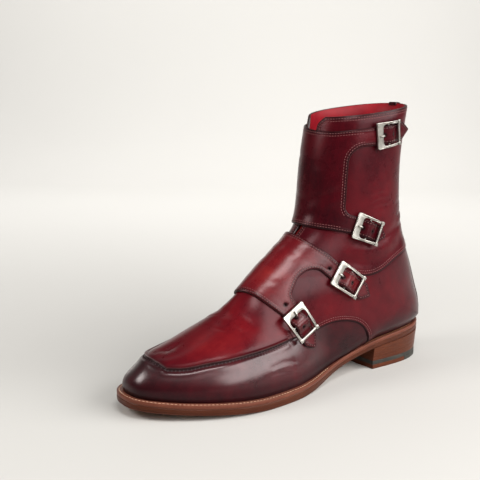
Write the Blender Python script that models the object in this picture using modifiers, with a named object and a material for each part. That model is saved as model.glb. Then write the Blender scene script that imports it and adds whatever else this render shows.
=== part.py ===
"""Four-strap ankle dress boot, left foot.

+X points to the toe, +Y to the outside of the foot (the wearer's left), +Z up. The origin is on the floor
under the middle of the sole. The upper is worked out on the last by two numbers: v runs from the collar (0)
through the heel seat (V_SEAT) to the tip of the toe (1), and u runs from the crest of the front (0) down to
the sole or round to the back seam, outside (1) or inside (-1).
"""
import math

import bmesh
import bpy
import numpy as np
from mathutils import Matrix, Vector
from mathutils.geometry import delaunay_2d_cdt

MM = 0.001

# ---------------------------------------------------------------- driving dimensions, in metres
LENGTH = 0.302          # of the last at the feather line, where upper meets welt
BALL_WIDTH = 0.094      # of the last at the feather line
BOOT_HEIGHT = 0.232     # floor to the back of the collar
HEEL_RISE = 0.027       # floor to the outsole at the back of the heel
HEEL_LENGTH = 0.074     # back of the last to the heel breast
WALL = 0.0022           # upper leather with its lining
STRAP_LEATHER = 0.0018
STRAP_WIDTH = 0.0145
GAP = 0.0003            # between pieces that touch
OVERLAY_GAP = 0.0005    # between the upper and an overlay, whose facets differ from its own
V_SEAT = 0.5            # v of the section that ends at the heel seat

HALF_BALL = BALL_WIDTH / 2
HEEL_BACK_X = -0.1528    # so that the origin is under the middle of the boot

# ---------------------------------------------------------------- tables of the last
# Feather line. x is a share of the length, the sides are shares of half the ball width.
OUTLINE_COLUMNS = ("x", "outside", "inside")
OUTLINE = [
    (0.000, 0.00, 0.00),
    (0.018, 0.32, -0.31),
    (0.076, 0.55, -0.53),
    (0.169, 0.63, -0.61),
    (0.285, 0.61, -0.59),
    (0.400, 0.62, -0.57),
    (0.533, 0.86, -0.77),
    (0.659, 1.00, -0.98),
    (0.781, 0.97, -0.98),
    (0.887, 0.70, -0.81),
    (0.957, 0.40, -0.62),
    (0.992, 0.15, -0.38),
    (1.000, -0.09, -0.09),
]

# Height of the sole. underside is a share of the heel rise, edge and stand_out are in millimetres: how thick
# the sole's edge is, and how far it stands out past the feather line.
SOLE_COLUMNS = ("x", "underside", "edge", "stand_out")
SOLE = [
    (-0.020, 1.000, 8.2, 0.6),
    (0.119, 0.860, 8.1, 0.5),
    (0.242, 0.720, 7.4, 0.7),
    (0.384, 0.345, 7.6, 1.8),
    (0.500, 0.060, 9.2, 3.6),
    (0.573, 0.000, 9.5, 4.4),
    (0.692, 0.000, 9.4, 4.6),
    (0.798, 0.090, 8.9, 4.6),
    (0.914, 0.185, 8.5, 4.6),
    (1.020, 0.300, 8.5, 4.6),
]

# One row for each section of the last. crest_x and back_x are shares of the length, crest_z and back_z of the
# boot's height, widths of half the ball width. widest is where along the section it is widest. front_round and
# back_round are how square it is there. foot says how far the section spreads over the top of the foot before
# it comes down, and not in an oval, and toe how far it does so forwards as well. bulge is in metres.
SECTION_COLUMNS = (
    "v", "crest_x", "crest_y", "crest_z", "back_x", "back_z", "out_width", "in_width", "widest",
    "front_round", "back_round", "foot", "toe", "bulge",
)
SECTIONS = [
    (0.00, 0.400, 0.00, 0.957, 0.094, 1.000, 0.78, 0.78, 0.50, 2.0, 2.2, 0.00, 0.0, 0.000),
    (0.12, 0.421, 0.00, 0.815, 0.114, 0.819, 0.77, 0.77, 0.50, 2.0, 2.2, 0.00, 0.0, 0.000),
    (0.24, 0.432, 0.00, 0.687, 0.112, 0.647, 0.77, 0.77, 0.50, 2.0, 2.2, 0.00, 0.0, 0.000),
    (0.36, 0.449, 0.00, 0.582, 0.084, 0.483, 0.78, 0.77, 0.50, 2.0, 2.2, 0.00, 0.0, 0.000),
    (0.44, 0.485, 0.00, 0.530, 0.035, 0.323, 0.80, 0.78, 0.50, 2.0, 2.2, 0.00, 0.0, 0.000),
    (0.50, 0.533, -0.02, 0.481, 0.000, 0.151, 0.82, 0.80, 0.52, 2.0, 2.4, 0.00, 0.0, 0.000),
    (0.60, 0.596, -0.04, 0.416, 0.000, 0.000, 0.83, 0.80, 0.55, 2.0, 2.4, 0.15, 0.0, 0.001),
    (0.70, 0.656, -0.06, 0.351, 0.000, 0.000, 0.87, 0.81, 0.60, 2.0, 2.4, 0.60, 0.0, 0.002),
    (0.80, 0.725, -0.06, 0.287, 0.000, 0.000, 1.00, 0.98, 0.70, 2.0, 2.4, 1.00, 0.0, 0.002),
    (0.90, 0.821, -0.08, 0.224, 0.000, 0.000, 1.00, 0.98, 0.70, 2.2, 2.4, 1.00, 0.3, 0.002),
    (0.96, 0.874, -0.08, 0.193, 0.000, 0.000, 1.00, 0.98, 0.70, 2.4, 2.4, 1.00, 0.9, 0.0015),
    (1.00, 0.884, -0.08, 0.190, 0.000, 0.000, 1.00, 0.98, 0.70, 2.4, 2.4, 1.00, 1.0, 0.0015),
]

# ---------------------------------------------------------------- pattern pieces, in millimetres
# across runs round the boot from the crest of the front, + to the outside; along runs down the crest from the
# collar to the toe. corner is the radius of the cut there.
PATTERN_COLUMNS = ("across", "along", "corner")
FRONT_SLIT = [
    (-25, -6, 1), (12, -6, 1), (9, 0, 5), (2, 3.5, 6), (1, 12, 20), (2.6, 60, 20), (2.6, 108, 2),
    (-2.6, 108, 2), (-2.6, 60, 20), (-12, 22, 20), (-16, 8, 12), (-18.5, 1, 4),
]
TONGUE = [(-20, 11, 6), (20, 11, 6), (24, 60, 30), (22, 118, 8), (-22, 118, 8), (-24, 60, 30)]
# Each flap: its edge to the first strap, the cut-out between its straps, and its edge back from the second.
ANKLE_TOP = [(-66, 9, 5), (-24, 9, 60), (4, 11.5, 60), (18, 12.4, 60), (36, 11.3, 60)]
ANKLE_CUT_OUT = [(34, 25.5, 12), (35.5, 77, 9)]
ANKLE_BOTTOM = [(28, 91.3, 60), (10, 92.5, 60), (-10, 92, 60), (-66, 89, 5)]
INSTEP_TOP = [(-62, 103, 9), (-8, 101.5, 60), (8, 103.6, 50), (22, 107.4, 60), (36, 110.6, 60)]
INSTEP_CUT_OUT = [(37, 125, 9), (30, 138, 20), (36, 155, 7)]
INSTEP_BOTTOM = [(26, 169.5, 50), (9, 168.6, 60), (-5, 172, 40), (-62, 172, 12)]
# Straps as they pass through their buckles: the middle of the front bar, then of the rear bar, then how far
# the point of the strap reaches past the rear bar and how far it lifts there.
BUCKLE_COLUMNS = ("front_across", "front_along", "rear_across", "rear_along", "tail", "lift")
BUCKLES = [
    (56.6, 17.5, 79.1, 16.3, 16, 3.0),
    (47.2, 84.9, 70.1, 88.2, 10, 0.6),
    (54.7, 123.0, 81.2, 128.6, 16, 0.6),
    (44.8, 165.5, 67.5, 170.7, 15, 0.6),
]
# Backstay: half width at shares of the way down the back, in millimetres.
BACKSTAY_COLUMNS = ("down", "half_width")
BACKSTAY = [(0.0, 13.0), (0.3, 12.0), (0.6, 13.0), (0.85, 16.0), (1.0, 18.0)]


# ---------------------------------------------------------------- curves
def column(table, names, name):
    return np.array([row[names.index(name)] for row in table], float)


def spline(knots, values, at):
    """Natural cubic spline through the rows of values, read at one or many places."""
    knots = np.asarray(knots, float)
    rows = np.asarray(values, float).reshape(len(knots), -1)
    at = np.asarray(at, float)
    count = len(knots)
    step = np.diff(knots)
    system = np.eye(count)
    right = np.zeros_like(rows)
    for i in range(1, count - 1):
        system[i, i - 1:i + 2] = step[i - 1], 2 * (step[i - 1] + step[i]), step[i]
        right[i] = 6 * ((rows[i + 1] - rows[i]) / step[i] - (rows[i] - rows[i - 1]) / step[i - 1])
    bend = np.linalg.solve(system, right)
    flat = at.ravel()
    i = np.clip(np.searchsorted(knots, flat) - 1, 0, count - 2)
    past = (flat - knots[i])[:, None]
    left = (knots[i + 1] - flat)[:, None]
    width = step[i][:, None]
    result = (bend[i] * left ** 3 + bend[i + 1] * past ** 3) / (6 * width)
    result += (rows[i] / width - bend[i] * width / 6) * left
    result += (rows[i + 1] / width - bend[i + 1] * width / 6) * past
    return result.reshape(at.shape + np.shape(values)[1:])


def lengths_along(points):
    steps = np.linalg.norm(np.diff(points, axis=-2), axis=-1)
    start = np.zeros(steps.shape[:-1] + (1,))
    return np.concatenate([start, np.cumsum(steps, axis=-1)], axis=-1)


def feather_loop():
    """The feather line in plan, from the heel round the outside to the toe and back, and its lengths."""
    x = HEEL_BACK_X + LENGTH * column(OUTLINE, OUTLINE_COLUMNS, "x")
    outside = HALF_BALL * column(OUTLINE, OUTLINE_COLUMNS, "outside")
    inside = HALF_BALL * column(OUTLINE, OUTLINE_COLUMNS, "inside")
    there = np.stack([x, outside], axis=-1)
    back = np.stack([x, inside], axis=-1)[-2:0:-1]
    loop = np.concatenate([there, back])
    overlap = 4
    around = np.concatenate([loop[-overlap:], loop, loop[:overlap + 1]])
    chord = np.sqrt(np.linalg.norm(np.diff(around, axis=0), axis=1))
    knots = np.concatenate([[0], np.cumsum(chord)])
    fine = 4001
    at = np.linspace(knots[overlap], knots[overlap + len(loop)], fine)
    curve = spline(knots, around, at)
    toe = int(np.argmin(np.abs(at - knots[overlap + len(there) - 1])))
    return curve, lengths_along(curve), toe


FEATHER, FEATHER_LENGTH, TOE_INDEX = feather_loop()


def feather_point(side, share):
    """Place on the feather line at a share of the way from heel to toe, outside (1) or inside (-1)."""
    share = np.asarray(share, float)
    to_toe = FEATHER_LENGTH[TOE_INDEX]
    whole = FEATHER_LENGTH[-1]
    at = share * to_toe if side > 0 else whole - share * (whole - to_toe)
    return np.stack([np.interp(at, FEATHER_LENGTH, FEATHER[:, i]) for i in range(2)], axis=-1)


def feather_outward(side, share):
    """Direction in plan that points out of the last there."""
    small = 0.004
    ahead = feather_point(side, np.clip(share + small, 0, 1))
    tangent = ahead - feather_point(side, np.clip(share - small, 0, 1))
    tangent = tangent / np.linalg.norm(tangent, axis=-1, keepdims=True)
    return np.stack([-tangent[..., 1] * side, tangent[..., 0] * side], axis=-1)


def sole_value(name, x):
    share = (np.asarray(x, float) - HEEL_BACK_X) / LENGTH
    return spline(column(SOLE, SOLE_COLUMNS, "x"), column(SOLE, SOLE_COLUMNS, name), share)


def underside_height(x):
    return HEEL_RISE * np.maximum(sole_value("underside", x), 0)


def feather_height(x):
    return underside_height(x) + MM * sole_value("edge", x)


# ---------------------------------------------------------------- surface of the last
def section_values(v):
    table = np.array(SECTIONS, float)
    values = spline(table[:, 0], table[:, 1:], v)
    return dict(zip(SECTION_COLUMNS[1:], np.moveaxis(values, -1, 0)))


def last_point(v, u):
    """Point of the upper's outer face."""
    v, u = np.broadcast_arrays(np.asarray(v, float), np.asarray(u, float))
    row = section_values(v)
    outside = u >= 0
    side = np.where(outside, 1.0, -1.0)
    share = np.sin(np.pi / 2 * u) ** 2
    crest = np.stack([
        HEEL_BACK_X + LENGTH * row["crest_x"], HALF_BALL * row["crest_y"], BOOT_HEIGHT * row["crest_z"],
    ], axis=-1)
    # Where the section ends: on the back seam above the heel seat, on the feather line from there on.
    along = np.clip((v - V_SEAT) / (1 - V_SEAT), 0, 1)
    edge = {s: feather_point(s, along) for s in (1, -1)}
    outward = {s: feather_outward(s, along) for s in (1, -1)}
    foot = np.where(outside[..., None], edge[1], edge[-1])
    normal = np.where(outside[..., None], outward[1], outward[-1])
    table = np.array(SECTIONS, float)
    shaft = table[table[:, 0] <= V_SEAT]
    columns = [SECTION_COLUMNS.index("back_x"), SECTION_COLUMNS.index("back_z")]
    back = spline(shaft[:, 0], shaft[:, columns], np.minimum(v, V_SEAT))
    on_foot = v > V_SEAT
    end_x = np.where(on_foot, foot[..., 0], HEEL_BACK_X + LENGTH * back[..., 0])
    end_y = np.where(on_foot, foot[..., 1], 0.0)
    end_z = np.where(on_foot, feather_height(foot[..., 0]), BOOT_HEIGHT * back[..., 1])
    middle_y = np.where(on_foot, (edge[1][..., 1] + edge[-1][..., 1]) / 2, 0.0)
    end_width = np.abs(end_y - middle_y)
    width = HALF_BALL * np.where(outside, row["out_width"], row["in_width"])
    width = np.maximum(width, end_width * 1.0001)
    # An oval section: a rounded front up to its widest place, then in to the width at its end.
    front = (1 - np.clip(1 - share / row["widest"], 0, 1) ** row["front_round"]) ** (1 / row["front_round"])
    rest = np.clip((share - row["widest"]) / (1 - row["widest"]), 0, 1)
    taper = 1 - (end_width / width) ** row["back_round"]
    rear = np.maximum(1 - taper * rest ** row["back_round"], 0) ** (1 / row["back_round"])
    oval = np.where(share < row["widest"], front, rear)
    oval_x = crest[..., 0] + (end_x - crest[..., 0]) * share
    oval_y = crest[..., 1] + (middle_y - crest[..., 1]) * share + side * width * oval
    z = crest[..., 2] + (end_z - crest[..., 2]) * share
    # A foot section: over the top and down a wall that bulges a little past the feather line.
    over = (1 - (1 - share) ** row["front_round"]) ** (1 / row["front_round"])
    swell = row["bulge"] * np.sin(np.pi * share ** 1.5)
    foot_x = crest[..., 0] + (end_x - crest[..., 0]) * over
    foot_y = crest[..., 1] + (end_y - crest[..., 1]) * over + normal[..., 1] * swell
    foot = np.clip(row["foot"], 0, 1)
    toe = np.clip(row["toe"], 0, 1)
    x = (1 - toe) * oval_x + toe * foot_x + foot * normal[..., 0] * swell
    y = (1 - foot) * oval_y + foot * foot_y
    return np.stack([x, y, z], axis=-1)


def last_normal(v, u):
    small = 0.001
    v, u = np.broadcast_arrays(np.asarray(v, float), np.asarray(u, float))
    down = last_point(np.minimum(v + small, 1), u) - last_point(v - small, u)
    across = last_point(v, np.minimum(u + small, 1)) - last_point(v, np.maximum(u - small, -1))
    normal = np.cross(down, across)
    return normal / np.linalg.norm(normal, axis=-1, keepdims=True)


def crest_table():
    v = np.linspace(-0.03, 1, 413)
    crest = last_point(v, 0.0)
    length = lengths_along(crest)
    return v, length - np.interp(0, v, length)


CREST_V, CREST_LENGTH = crest_table()
GIRTH_STEPS = 61


def surface_at(across, along, proud):
    """Point on the boot at a place of the flat pattern, standing proud of the upper's outer face."""
    across = np.asarray(across, float)
    v = np.interp(along, CREST_LENGTH, CREST_V)
    side = np.where(across >= 0, 1.0, -1.0)
    steps = np.linspace(0, 1, GIRTH_STEPS)
    girth = lengths_along(last_point(v[:, None], side[:, None] * steps))
    u = np.array([np.interp(abs(a), g, steps) for a, g in zip(across, girth)]) * side
    return last_point(v, u) + last_normal(v, u) * np.asarray(proud, float)[..., None]


# ======== Blender part
FRAME_THICK = 0.0020
FRAME_CLEAR = OVERLAY_GAP + STRAP_LEATHER + GAP     # underside of a frame above the upper
FRONT_BAR = 0.0056
REAR_BAR = 0.0022
SIDE_ARM = 0.0021
FRONT_WIDTH = 0.0225
REAR_WIDTH = 0.0205
KNOB = 0.0032
KNOB_OUT = 0.0006       # how far the knobs stand out past the rear bar
WIRE = 0.0007           # radius of the middle bar and of the prong
BAR_HEIGHT = 0.0019     # of the middle bar above the upper
STRAP_EDGE = STRAP_WIDTH / 2
HUMP = 0.0029           # how far a strap rises over its buckle's middle bar
HUMP_REACH = 0.009
SHOULDER = 0.008        # length of a strap's pointed end


class Strap:
    """A strap at its buckle. s runs along it from the middle bar to its point and t across it, in metres."""

    def __init__(self, row):
        value = dict(zip(BUCKLE_COLUMNS, row))
        front = MM * np.array([value["front_across"], value["front_along"]])
        rear = MM * np.array([value["rear_across"], value["rear_along"]])
        self.middle = (front + rear) / 2
        self.tail = MM * value["tail"]
        self.lift = MM * value["lift"]
        ends = surface_at(*np.array([front, rear, self.middle]).T, np.zeros(3))
        above = surface_at(*self.middle[:, None], np.array([MM]))[0]
        self.origin = ends[2]
        self.length = np.linalg.norm(ends[1] - ends[0])
        self.set_axes(ends[1] - ends[0], above - ends[2])
        for _ in range(2):
            self.settle()

    def set_axes(self, forward, out):
        self.forward = forward / np.linalg.norm(forward)
        out = out - self.forward * (out @ self.forward)
        self.out = out / np.linalg.norm(out)
        self.sideways = np.cross(self.out, self.forward)
        nudge = MM * np.array([[1, 0], [0, 1]])
        self.to_pattern = np.linalg.inv(self.local(self.middle + nudge) / MM)

    def settle(self):
        """Turns the buckle to lie flat on the boot, and finds how much the boot curves under it."""
        reach = self.length / 2 + FRONT_BAR / 2
        s, t = (grid.ravel() for grid in np.meshgrid(
            np.linspace(-reach, reach, 9), np.linspace(-1, 1, 7) * FRONT_WIDTH / 2,
        ))
        under = surface_at(*self.pattern(s, t).T, np.zeros(len(s))) - self.origin
        s, t, height = under @ self.forward, under @ self.sideways, under @ self.out
        terms = np.stack([np.ones(len(s)), s, t, s * s], axis=1)
        tip, tilt, curve = np.linalg.lstsq(terms, height, rcond=None)[0][1:]
        self.set_axes(self.forward + tip * self.out, self.out - tilt * self.sideways)
        self.curve = curve
        self.seat = np.max(height - terms[:, 1:] @ np.array([tip, tilt, curve]))

    def local(self, pattern):
        """Place along and across the strap, seen from above it, of places in the flat pattern."""
        places = surface_at(*pattern.T, np.zeros(len(pattern))) - self.origin
        return places @ np.stack([self.forward, self.sideways], axis=1)

    def pattern(self, s, t):
        """Places in the flat pattern, in metres, of places of the strap."""
        wanted = np.column_stack([s, t])
        found = self.middle + wanted @ self.to_pattern
        for _ in range(4):
            found = found + (wanted - self.local(found)) @ self.to_pattern
        return found

    def outline(self):
        """Pattern rows of the strap: in along its upper edge, round its point and back, in millimetres."""
        end = self.length / 2 + self.tail
        places = [
            (-self.length / 2, STRAP_EDGE, 20), (end - SHOULDER, STRAP_EDGE, 4), (end, 0, 1),
            (end - SHOULDER, -STRAP_EDGE, 4), (-self.length / 2, -STRAP_EDGE, 8),
        ]
        if self.sideways[2] < 0:
            places = [(s, -t, corner) for s, t, corner in places]
        s, t, corner = np.array(places).T
        return np.column_stack([self.pattern(s, t) / MM, corner]).tolist()

    def rise(self, pattern):
        """How far the leather stands up here, over the middle bar and towards the strap's point."""
        s, t = self.local(pattern).T
        on_strap = (np.abs(t) < STRAP_EDGE + MM) & (pattern[:, 0] > 0)      # not on the boot's other side
        over_bar = on_strap & (np.abs(s) < HUMP_REACH)
        hump = (HUMP + self.seat) * np.cos(np.pi / 2 * s / HUMP_REACH) ** 2
        past = np.clip((s - self.length / 2) / self.tail, 0, 1.2)
        return np.where(over_bar, hump, 0) + np.where(on_strap & (s > 0), self.lift * past ** 2, 0)


STRAPS = [Strap(row) for row in BUCKLES]


# ---------------------------------------------------------------- collections, materials, meshes
def clear_scene():
    for thing in list(bpy.data.objects):
        bpy.data.objects.remove(thing)


def new_collection(name):
    collection = bpy.data.collections.new(name)
    bpy.context.scene.collection.children.link(collection)
    return collection


def finish(name, colour, roughness, metallic=0.0):
    material = bpy.data.materials.new(name)
    material.use_nodes = True
    shader = material.node_tree.nodes["Principled BSDF"]
    shader.inputs["Base Color"].default_value = (*colour, 1)
    shader.inputs["Roughness"].default_value = roughness
    shader.inputs["Metallic"].default_value = metallic
    material.diffuse_color = (*colour, 1)
    return material


def add_mesh(name, points, faces, material, collection, sharp_angle=40):
    """Makes one closed mesh object, with coincident points merged and every face turned outwards."""
    mesh = bpy.data.meshes.new(name)
    mesh.from_pydata([tuple(point) for point in points], [], faces)
    shape = bmesh.new()
    shape.from_mesh(mesh)
    bmesh.ops.remove_doubles(shape, verts=shape.verts, dist=1e-6)
    bmesh.ops.dissolve_degenerate(shape, edges=shape.edges, dist=1e-6)
    bmesh.ops.recalc_face_normals(shape, faces=shape.faces)
    shape.to_mesh(mesh)
    shape.free()
    mesh.shade_smooth()
    mesh.set_sharp_from_angle(angle=math.radians(sharp_angle))
    made = bpy.data.objects.new(name, mesh)
    if material:
        mesh.materials.append(material)
    collection.objects.link(made)
    return made


def as_cutter(thing):
    thing.hide_render = True
    thing.display_type = "WIRE"
    return thing


def boolean(thing, cutter, operation="DIFFERENCE"):
    modifier = thing.modifiers.new(cutter.name, "BOOLEAN")
    modifier.operation = operation
    modifier.object = cutter
    return modifier


def evaluated_mesh(thing):
    """A plain mesh of the object with its modifiers applied, in its own coordinates."""
    bpy.context.view_layer.update()
    graph = bpy.context.evaluated_depsgraph_get()
    return bpy.data.meshes.new_from_object(thing.evaluated_get(graph))


def mesh_from_curve(curve_object, collection):
    """Replaces a curve object by a mesh object with its caps welded."""
    mesh = evaluated_mesh(curve_object)
    shape = bmesh.new()
    shape.from_mesh(mesh)
    bmesh.ops.remove_doubles(shape, verts=shape.verts, dist=1e-6)
    bmesh.ops.recalc_face_normals(shape, faces=shape.faces)
    shape.to_mesh(mesh)
    shape.free()
    made = bpy.data.objects.new(curve_object.name, mesh)
    made.matrix_world = curve_object.matrix_world
    bpy.data.objects.remove(curve_object)
    collection.objects.link(made)
    return made


def plate(name, low, high, material, collection):
    """A closed sheet between two grids of points, low and high."""
    rows, columns = low.shape[:2]
    count = rows * columns
    faces = []
    for i in range(rows - 1):
        for j in range(columns - 1):
            a = i * columns + j
            square = (a, a + 1, a + columns + 1, a + columns)
            faces.append(square)
            faces.append(tuple(k + count for k in reversed(square)))
    rim = list(range(columns))
    rim += [i * columns + columns - 1 for i in range(1, rows)]
    rim += [(rows - 1) * columns + j for j in range(columns - 2, -1, -1)]
    rim += [i * columns for i in range(rows - 2, 0, -1)]
    for a, b in zip(rim, rim[1:] + rim[:1]):
        faces.append((a, b, b + count, a + count))
    points = np.concatenate([low.reshape(-1, 3), high.reshape(-1, 3)])
    return add_mesh(name, points, faces, material, collection)


# ---------------------------------------------------------------- flat patterns laid on the last
def rounded(rows, step=3.0):
    """Closed outline through the rows of a pattern, each corner replaced by an arc of its radius."""
    points = []
    corners = np.array(rows, float)[:, :2]
    radii = column(rows, PATTERN_COLUMNS, "corner")
    for i, corner in enumerate(corners):
        before = corners[i - 1] - corner
        after = corners[(i + 1) % len(rows)] - corner
        reach = np.linalg.norm(before), np.linalg.norm(after)
        before, after = before / reach[0], after / reach[1]
        angle = math.acos(np.clip(before @ after, -1, 1))
        cut = min(radii[i] / math.tan(angle / 2), 0.48 * reach[0], 0.48 * reach[1])
        radius = cut * math.tan(angle / 2)
        start, end = corner + before * cut, corner + after * cut
        turn = math.pi - angle
        count = max(1, math.ceil(turn * radius / step), math.ceil(turn / math.radians(25)))
        if turn < math.radians(2):
            points += [start, end]
            continue
        centre = corner + (before + after) / np.linalg.norm(before + after) * radius / math.sin(angle / 2)
        first = math.atan2(*(start - centre)[::-1])
        sweep = (math.atan2(*(end - centre)[::-1]) - first + math.pi) % (2 * math.pi) - math.pi
        for k in range(count + 1):
            at = first + sweep * k / count
            points.append(centre + radius * np.array([math.cos(at), math.sin(at)]))
    return np.array(points)


def even(loop, step):
    """The same closed outline with no stretch longer than step."""
    points = []
    for start, end in zip(loop, np.roll(loop, -1, axis=0)):
        count = max(1, math.ceil(np.linalg.norm(end - start) / step))
        points += [start + (end - start) * k / count for k in range(count)]
    return np.array(points)


def inside_of(loop, points):
    """Which points lie in the closed outline."""
    found = np.zeros(len(points), bool)
    for a, b in zip(loop, np.roll(loop, -1, axis=0)):
        crosses = (a[1] > points[:, 1]) != (b[1] > points[:, 1])
        slope = (b[0] - a[0]) / (b[1] - a[1]) if a[1] != b[1] else 0
        found ^= crosses & (points[:, 0] < a[0] + (points[:, 1] - a[1]) * slope)
    return found


def distance_to(loop, points):
    ends = np.roll(loop, -1, axis=0)
    nearest = np.full(len(points), np.inf)
    for a, b in zip(loop, ends):
        along = np.clip((points - a) @ (b - a) / max((b - a) @ (b - a), 1e-12), 0, 1)
        nearest = np.minimum(nearest, np.linalg.norm(points - a - along[:, None] * (b - a), axis=1))
    return nearest


def patch(name, rows, low, high, material, collection, step=4.0, mesh_step=7.0, straps=()):
    """A piece cut to the pattern outline, between two offsets of the upper's outer face."""
    loop = even(rounded(rows), step)
    lowest, highest = loop.min(axis=0), loop.max(axis=0)
    grid = np.stack(np.meshgrid(
        np.arange(lowest[0], highest[0], mesh_step), np.arange(lowest[1], highest[1], mesh_step),
    ), axis=-1).reshape(-1, 2)
    for strap in straps:
        near = np.linalg.norm(grid * MM - strap.middle, axis=1) > strap.length / 2
        s, t = np.meshgrid(np.linspace(-1, 1, 7) * HUMP_REACH, np.linspace(-0.6, 0.6, 3) * STRAP_EDGE)
        own = strap.pattern(s.ravel(), t.ravel()) / MM
        grid = np.concatenate([grid[near], own])
    inner = grid[inside_of(loop, grid) & (distance_to(loop, grid) > 1.2)]
    flat = np.concatenate([loop, inner])
    edges = [(i, (i + 1) % len(loop)) for i in range(len(loop))]
    cut = delaunay_2d_cdt([Vector(point) for point in flat], edges, [], 1, 1e-4)
    where = np.array([tuple(point) for point in cut[0]]) * MM
    triangles = [tuple(face) for face in cut[2]]
    rise = sum((strap.rise(where) for strap in straps), np.zeros(len(where)))
    upper_face = surface_at(*where.T, high + rise)
    lower_face = surface_at(*where.T, low + rise)
    count = len(where)
    faces = list(triangles)
    faces += [tuple(i + count for i in reversed(face)) for face in triangles]
    directed = {(a, b) for face in triangles for a, b in zip(face, face[1:] + face[:1])}
    for a, b in directed:
        if (b, a) not in directed:
            faces.append((b, a, a + count, b + count))
    return add_mesh(name, np.concatenate([upper_face, lower_face]), faces, material, collection)


# ---------------------------------------------------------------- upper
SHAFT_ROWS = 17
FOOT_ROWS = 22
HALF_GIRTH_COLUMNS = 12


def make_upper(material, parts, cutters):
    """The upper as one hollow wall: an open skin on the last, thickened inwards and slit down the front."""
    shaft = np.linspace(0, V_SEAT, SHAFT_ROWS)
    foot = V_SEAT + (1 - V_SEAT) * np.linspace(0, 1, FOOT_ROWS)[1:]
    v = np.concatenate([shaft, foot])
    u = np.linspace(-1, 1, 2 * HALF_GIRTH_COLUMNS + 1)
    skin = last_point(v[:, None], u[None, :])
    skin[-1] = (skin[-1] + skin[-1, ::-1]) / 2
    columns = len(u)
    faces = []
    for i in range(len(v) - 1):
        for j in range(columns - 1):
            a = i * columns + j
            faces.append((a, a + columns, a + columns + 1, a + 1))
    upper = add_mesh("upper", skin.reshape(-1, 3), faces, material, parts)
    wall = upper.modifiers.new("wall", "SOLIDIFY")
    wall.thickness = WALL
    wall.offset = -1
    wall.use_even_offset = True
    upper.data = evaluated_mesh(upper)
    upper.modifiers.clear()
    for vertex in upper.data.vertices:
        vertex.co.z = max(vertex.co.z, float(feather_height(vertex.co.x)))
    slit = patch("front_slit", FRONT_SLIT, -2 * WALL, 2 * WALL, None, cutters, mesh_step=12.0)
    boolean(upper, as_cutter(slit))
    return upper


# ---------------------------------------------------------------- sole
SOLE_ROWS = 34
WELT = 0.0032
LIFT_LAYERS = {"ground": 0.0036, "lift": 0.0032}
HEEL_TAPER = 0.0015
RUBBER_QUARTER_X = HEEL_BACK_X + 0.032


def stand_out(x):
    return MM * sole_value("stand_out", x)


def edge_line(side, shares, stand):
    """The feather line moved outwards in plan by stand, a length or a function of x."""
    line = feather_point(side, shares)
    reach = stand(line[:, 0]) if callable(stand) else np.full(len(line), float(stand))
    moved = line + feather_outward(side, shares) * reach[:, None]
    return moved


def ribs(stand, shares):
    """Rows across the sole from its outside edge over the middle to its inside edge."""
    out_edge = edge_line(1, shares, stand)
    in_edge = edge_line(-1, shares, stand)
    for end, share in ((0, 0.0), (-1, 1.0)):
        if shares[end] == share:
            shared = (out_edge[end] + in_edge[end]) / 2
            out_edge[end] = shared
            in_edge[end] = shared
    return np.stack([out_edge, (out_edge + in_edge) / 2, in_edge], axis=1)


def slab(name, low_ribs, high_ribs, low_z, high_z, material, collection):
    """A plate lofted over ribs: low_z and high_z give its two faces' heights at each x."""
    low = np.dstack([low_ribs, low_z(low_ribs[..., 0])])
    high = np.dstack([high_ribs, high_z(high_ribs[..., 0])])
    return plate(name, low, high, material, collection)


def sole_shares(end=1.0, count=SOLE_ROWS):
    """Shares from the heel, closer together at both ends."""
    turn = np.linspace(0, math.pi if end == 1.0 else math.pi / 2, count)
    return (1 - np.cos(turn)) / 2 if end == 1.0 else (1 - np.cos(turn)) * end


def outsole_top(x):
    return feather_height(x) - GAP - WELT - GAP


def make_outsole(material, parts):
    edge = ribs(stand_out, sole_shares())
    return slab("outsole", edge, edge, underside_height, outsole_top, material, parts)


def make_insole(material, parts):
    edge = ribs(-(WALL + 4 * GAP), sole_shares())
    return slab(
        "insole", edge, edge, lambda x: outsole_top(x) + GAP, feather_height,
        material, parts,
    )


def make_welt(material, parts):
    """A ring between outsole and upper, from inside the upper's wall to the sole's edge."""
    shares = sole_shares()
    loops = []
    for stand in (stand_out, -WALL * 0.8):
        edge = ribs(stand, shares)
        loops.append(np.concatenate([edge[:, 0], edge[-2:0:-1, 2]]))
    outer, inner = loops
    corners = []
    for loop, height in (
        (outer, lambda x: outsole_top(x) + GAP), (outer, lambda x: feather_height(x) - GAP),
        (inner, lambda x: feather_height(x) - GAP), (inner, lambda x: outsole_top(x) + GAP),
    ):
        corners.append(np.column_stack([loop, height(loop[:, 0])]))
    count = len(outer)
    faces = []
    for i in range(count):
        after = (i + 1) % count
        for k in range(4):
            other = (k + 1) % 4
            faces.append((k * count + i, k * count + after, other * count + after, other * count + i))
    return add_mesh("welt", np.concatenate(corners), faces, material, parts)


def heel_ribs(inset, from_x, to_x):
    """Ribs of a heel layer between two places along the sole."""
    line = feather_point(1, np.linspace(0, 0.5, 400))
    first, last = np.interp([from_x, to_x], line[:, 0], np.linspace(0, 0.5, 400))
    if from_x <= HEEL_BACK_X:
        shares = sole_shares(last, 14)
    else:
        shares = np.linspace(first, last, 6)
    rows = ribs(lambda x: stand_out(x) - inset, shares)
    rows[-1, :, 0] = to_x
    if from_x > HEEL_BACK_X:
        rows[0, :, 0] = from_x
    return rows


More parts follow.
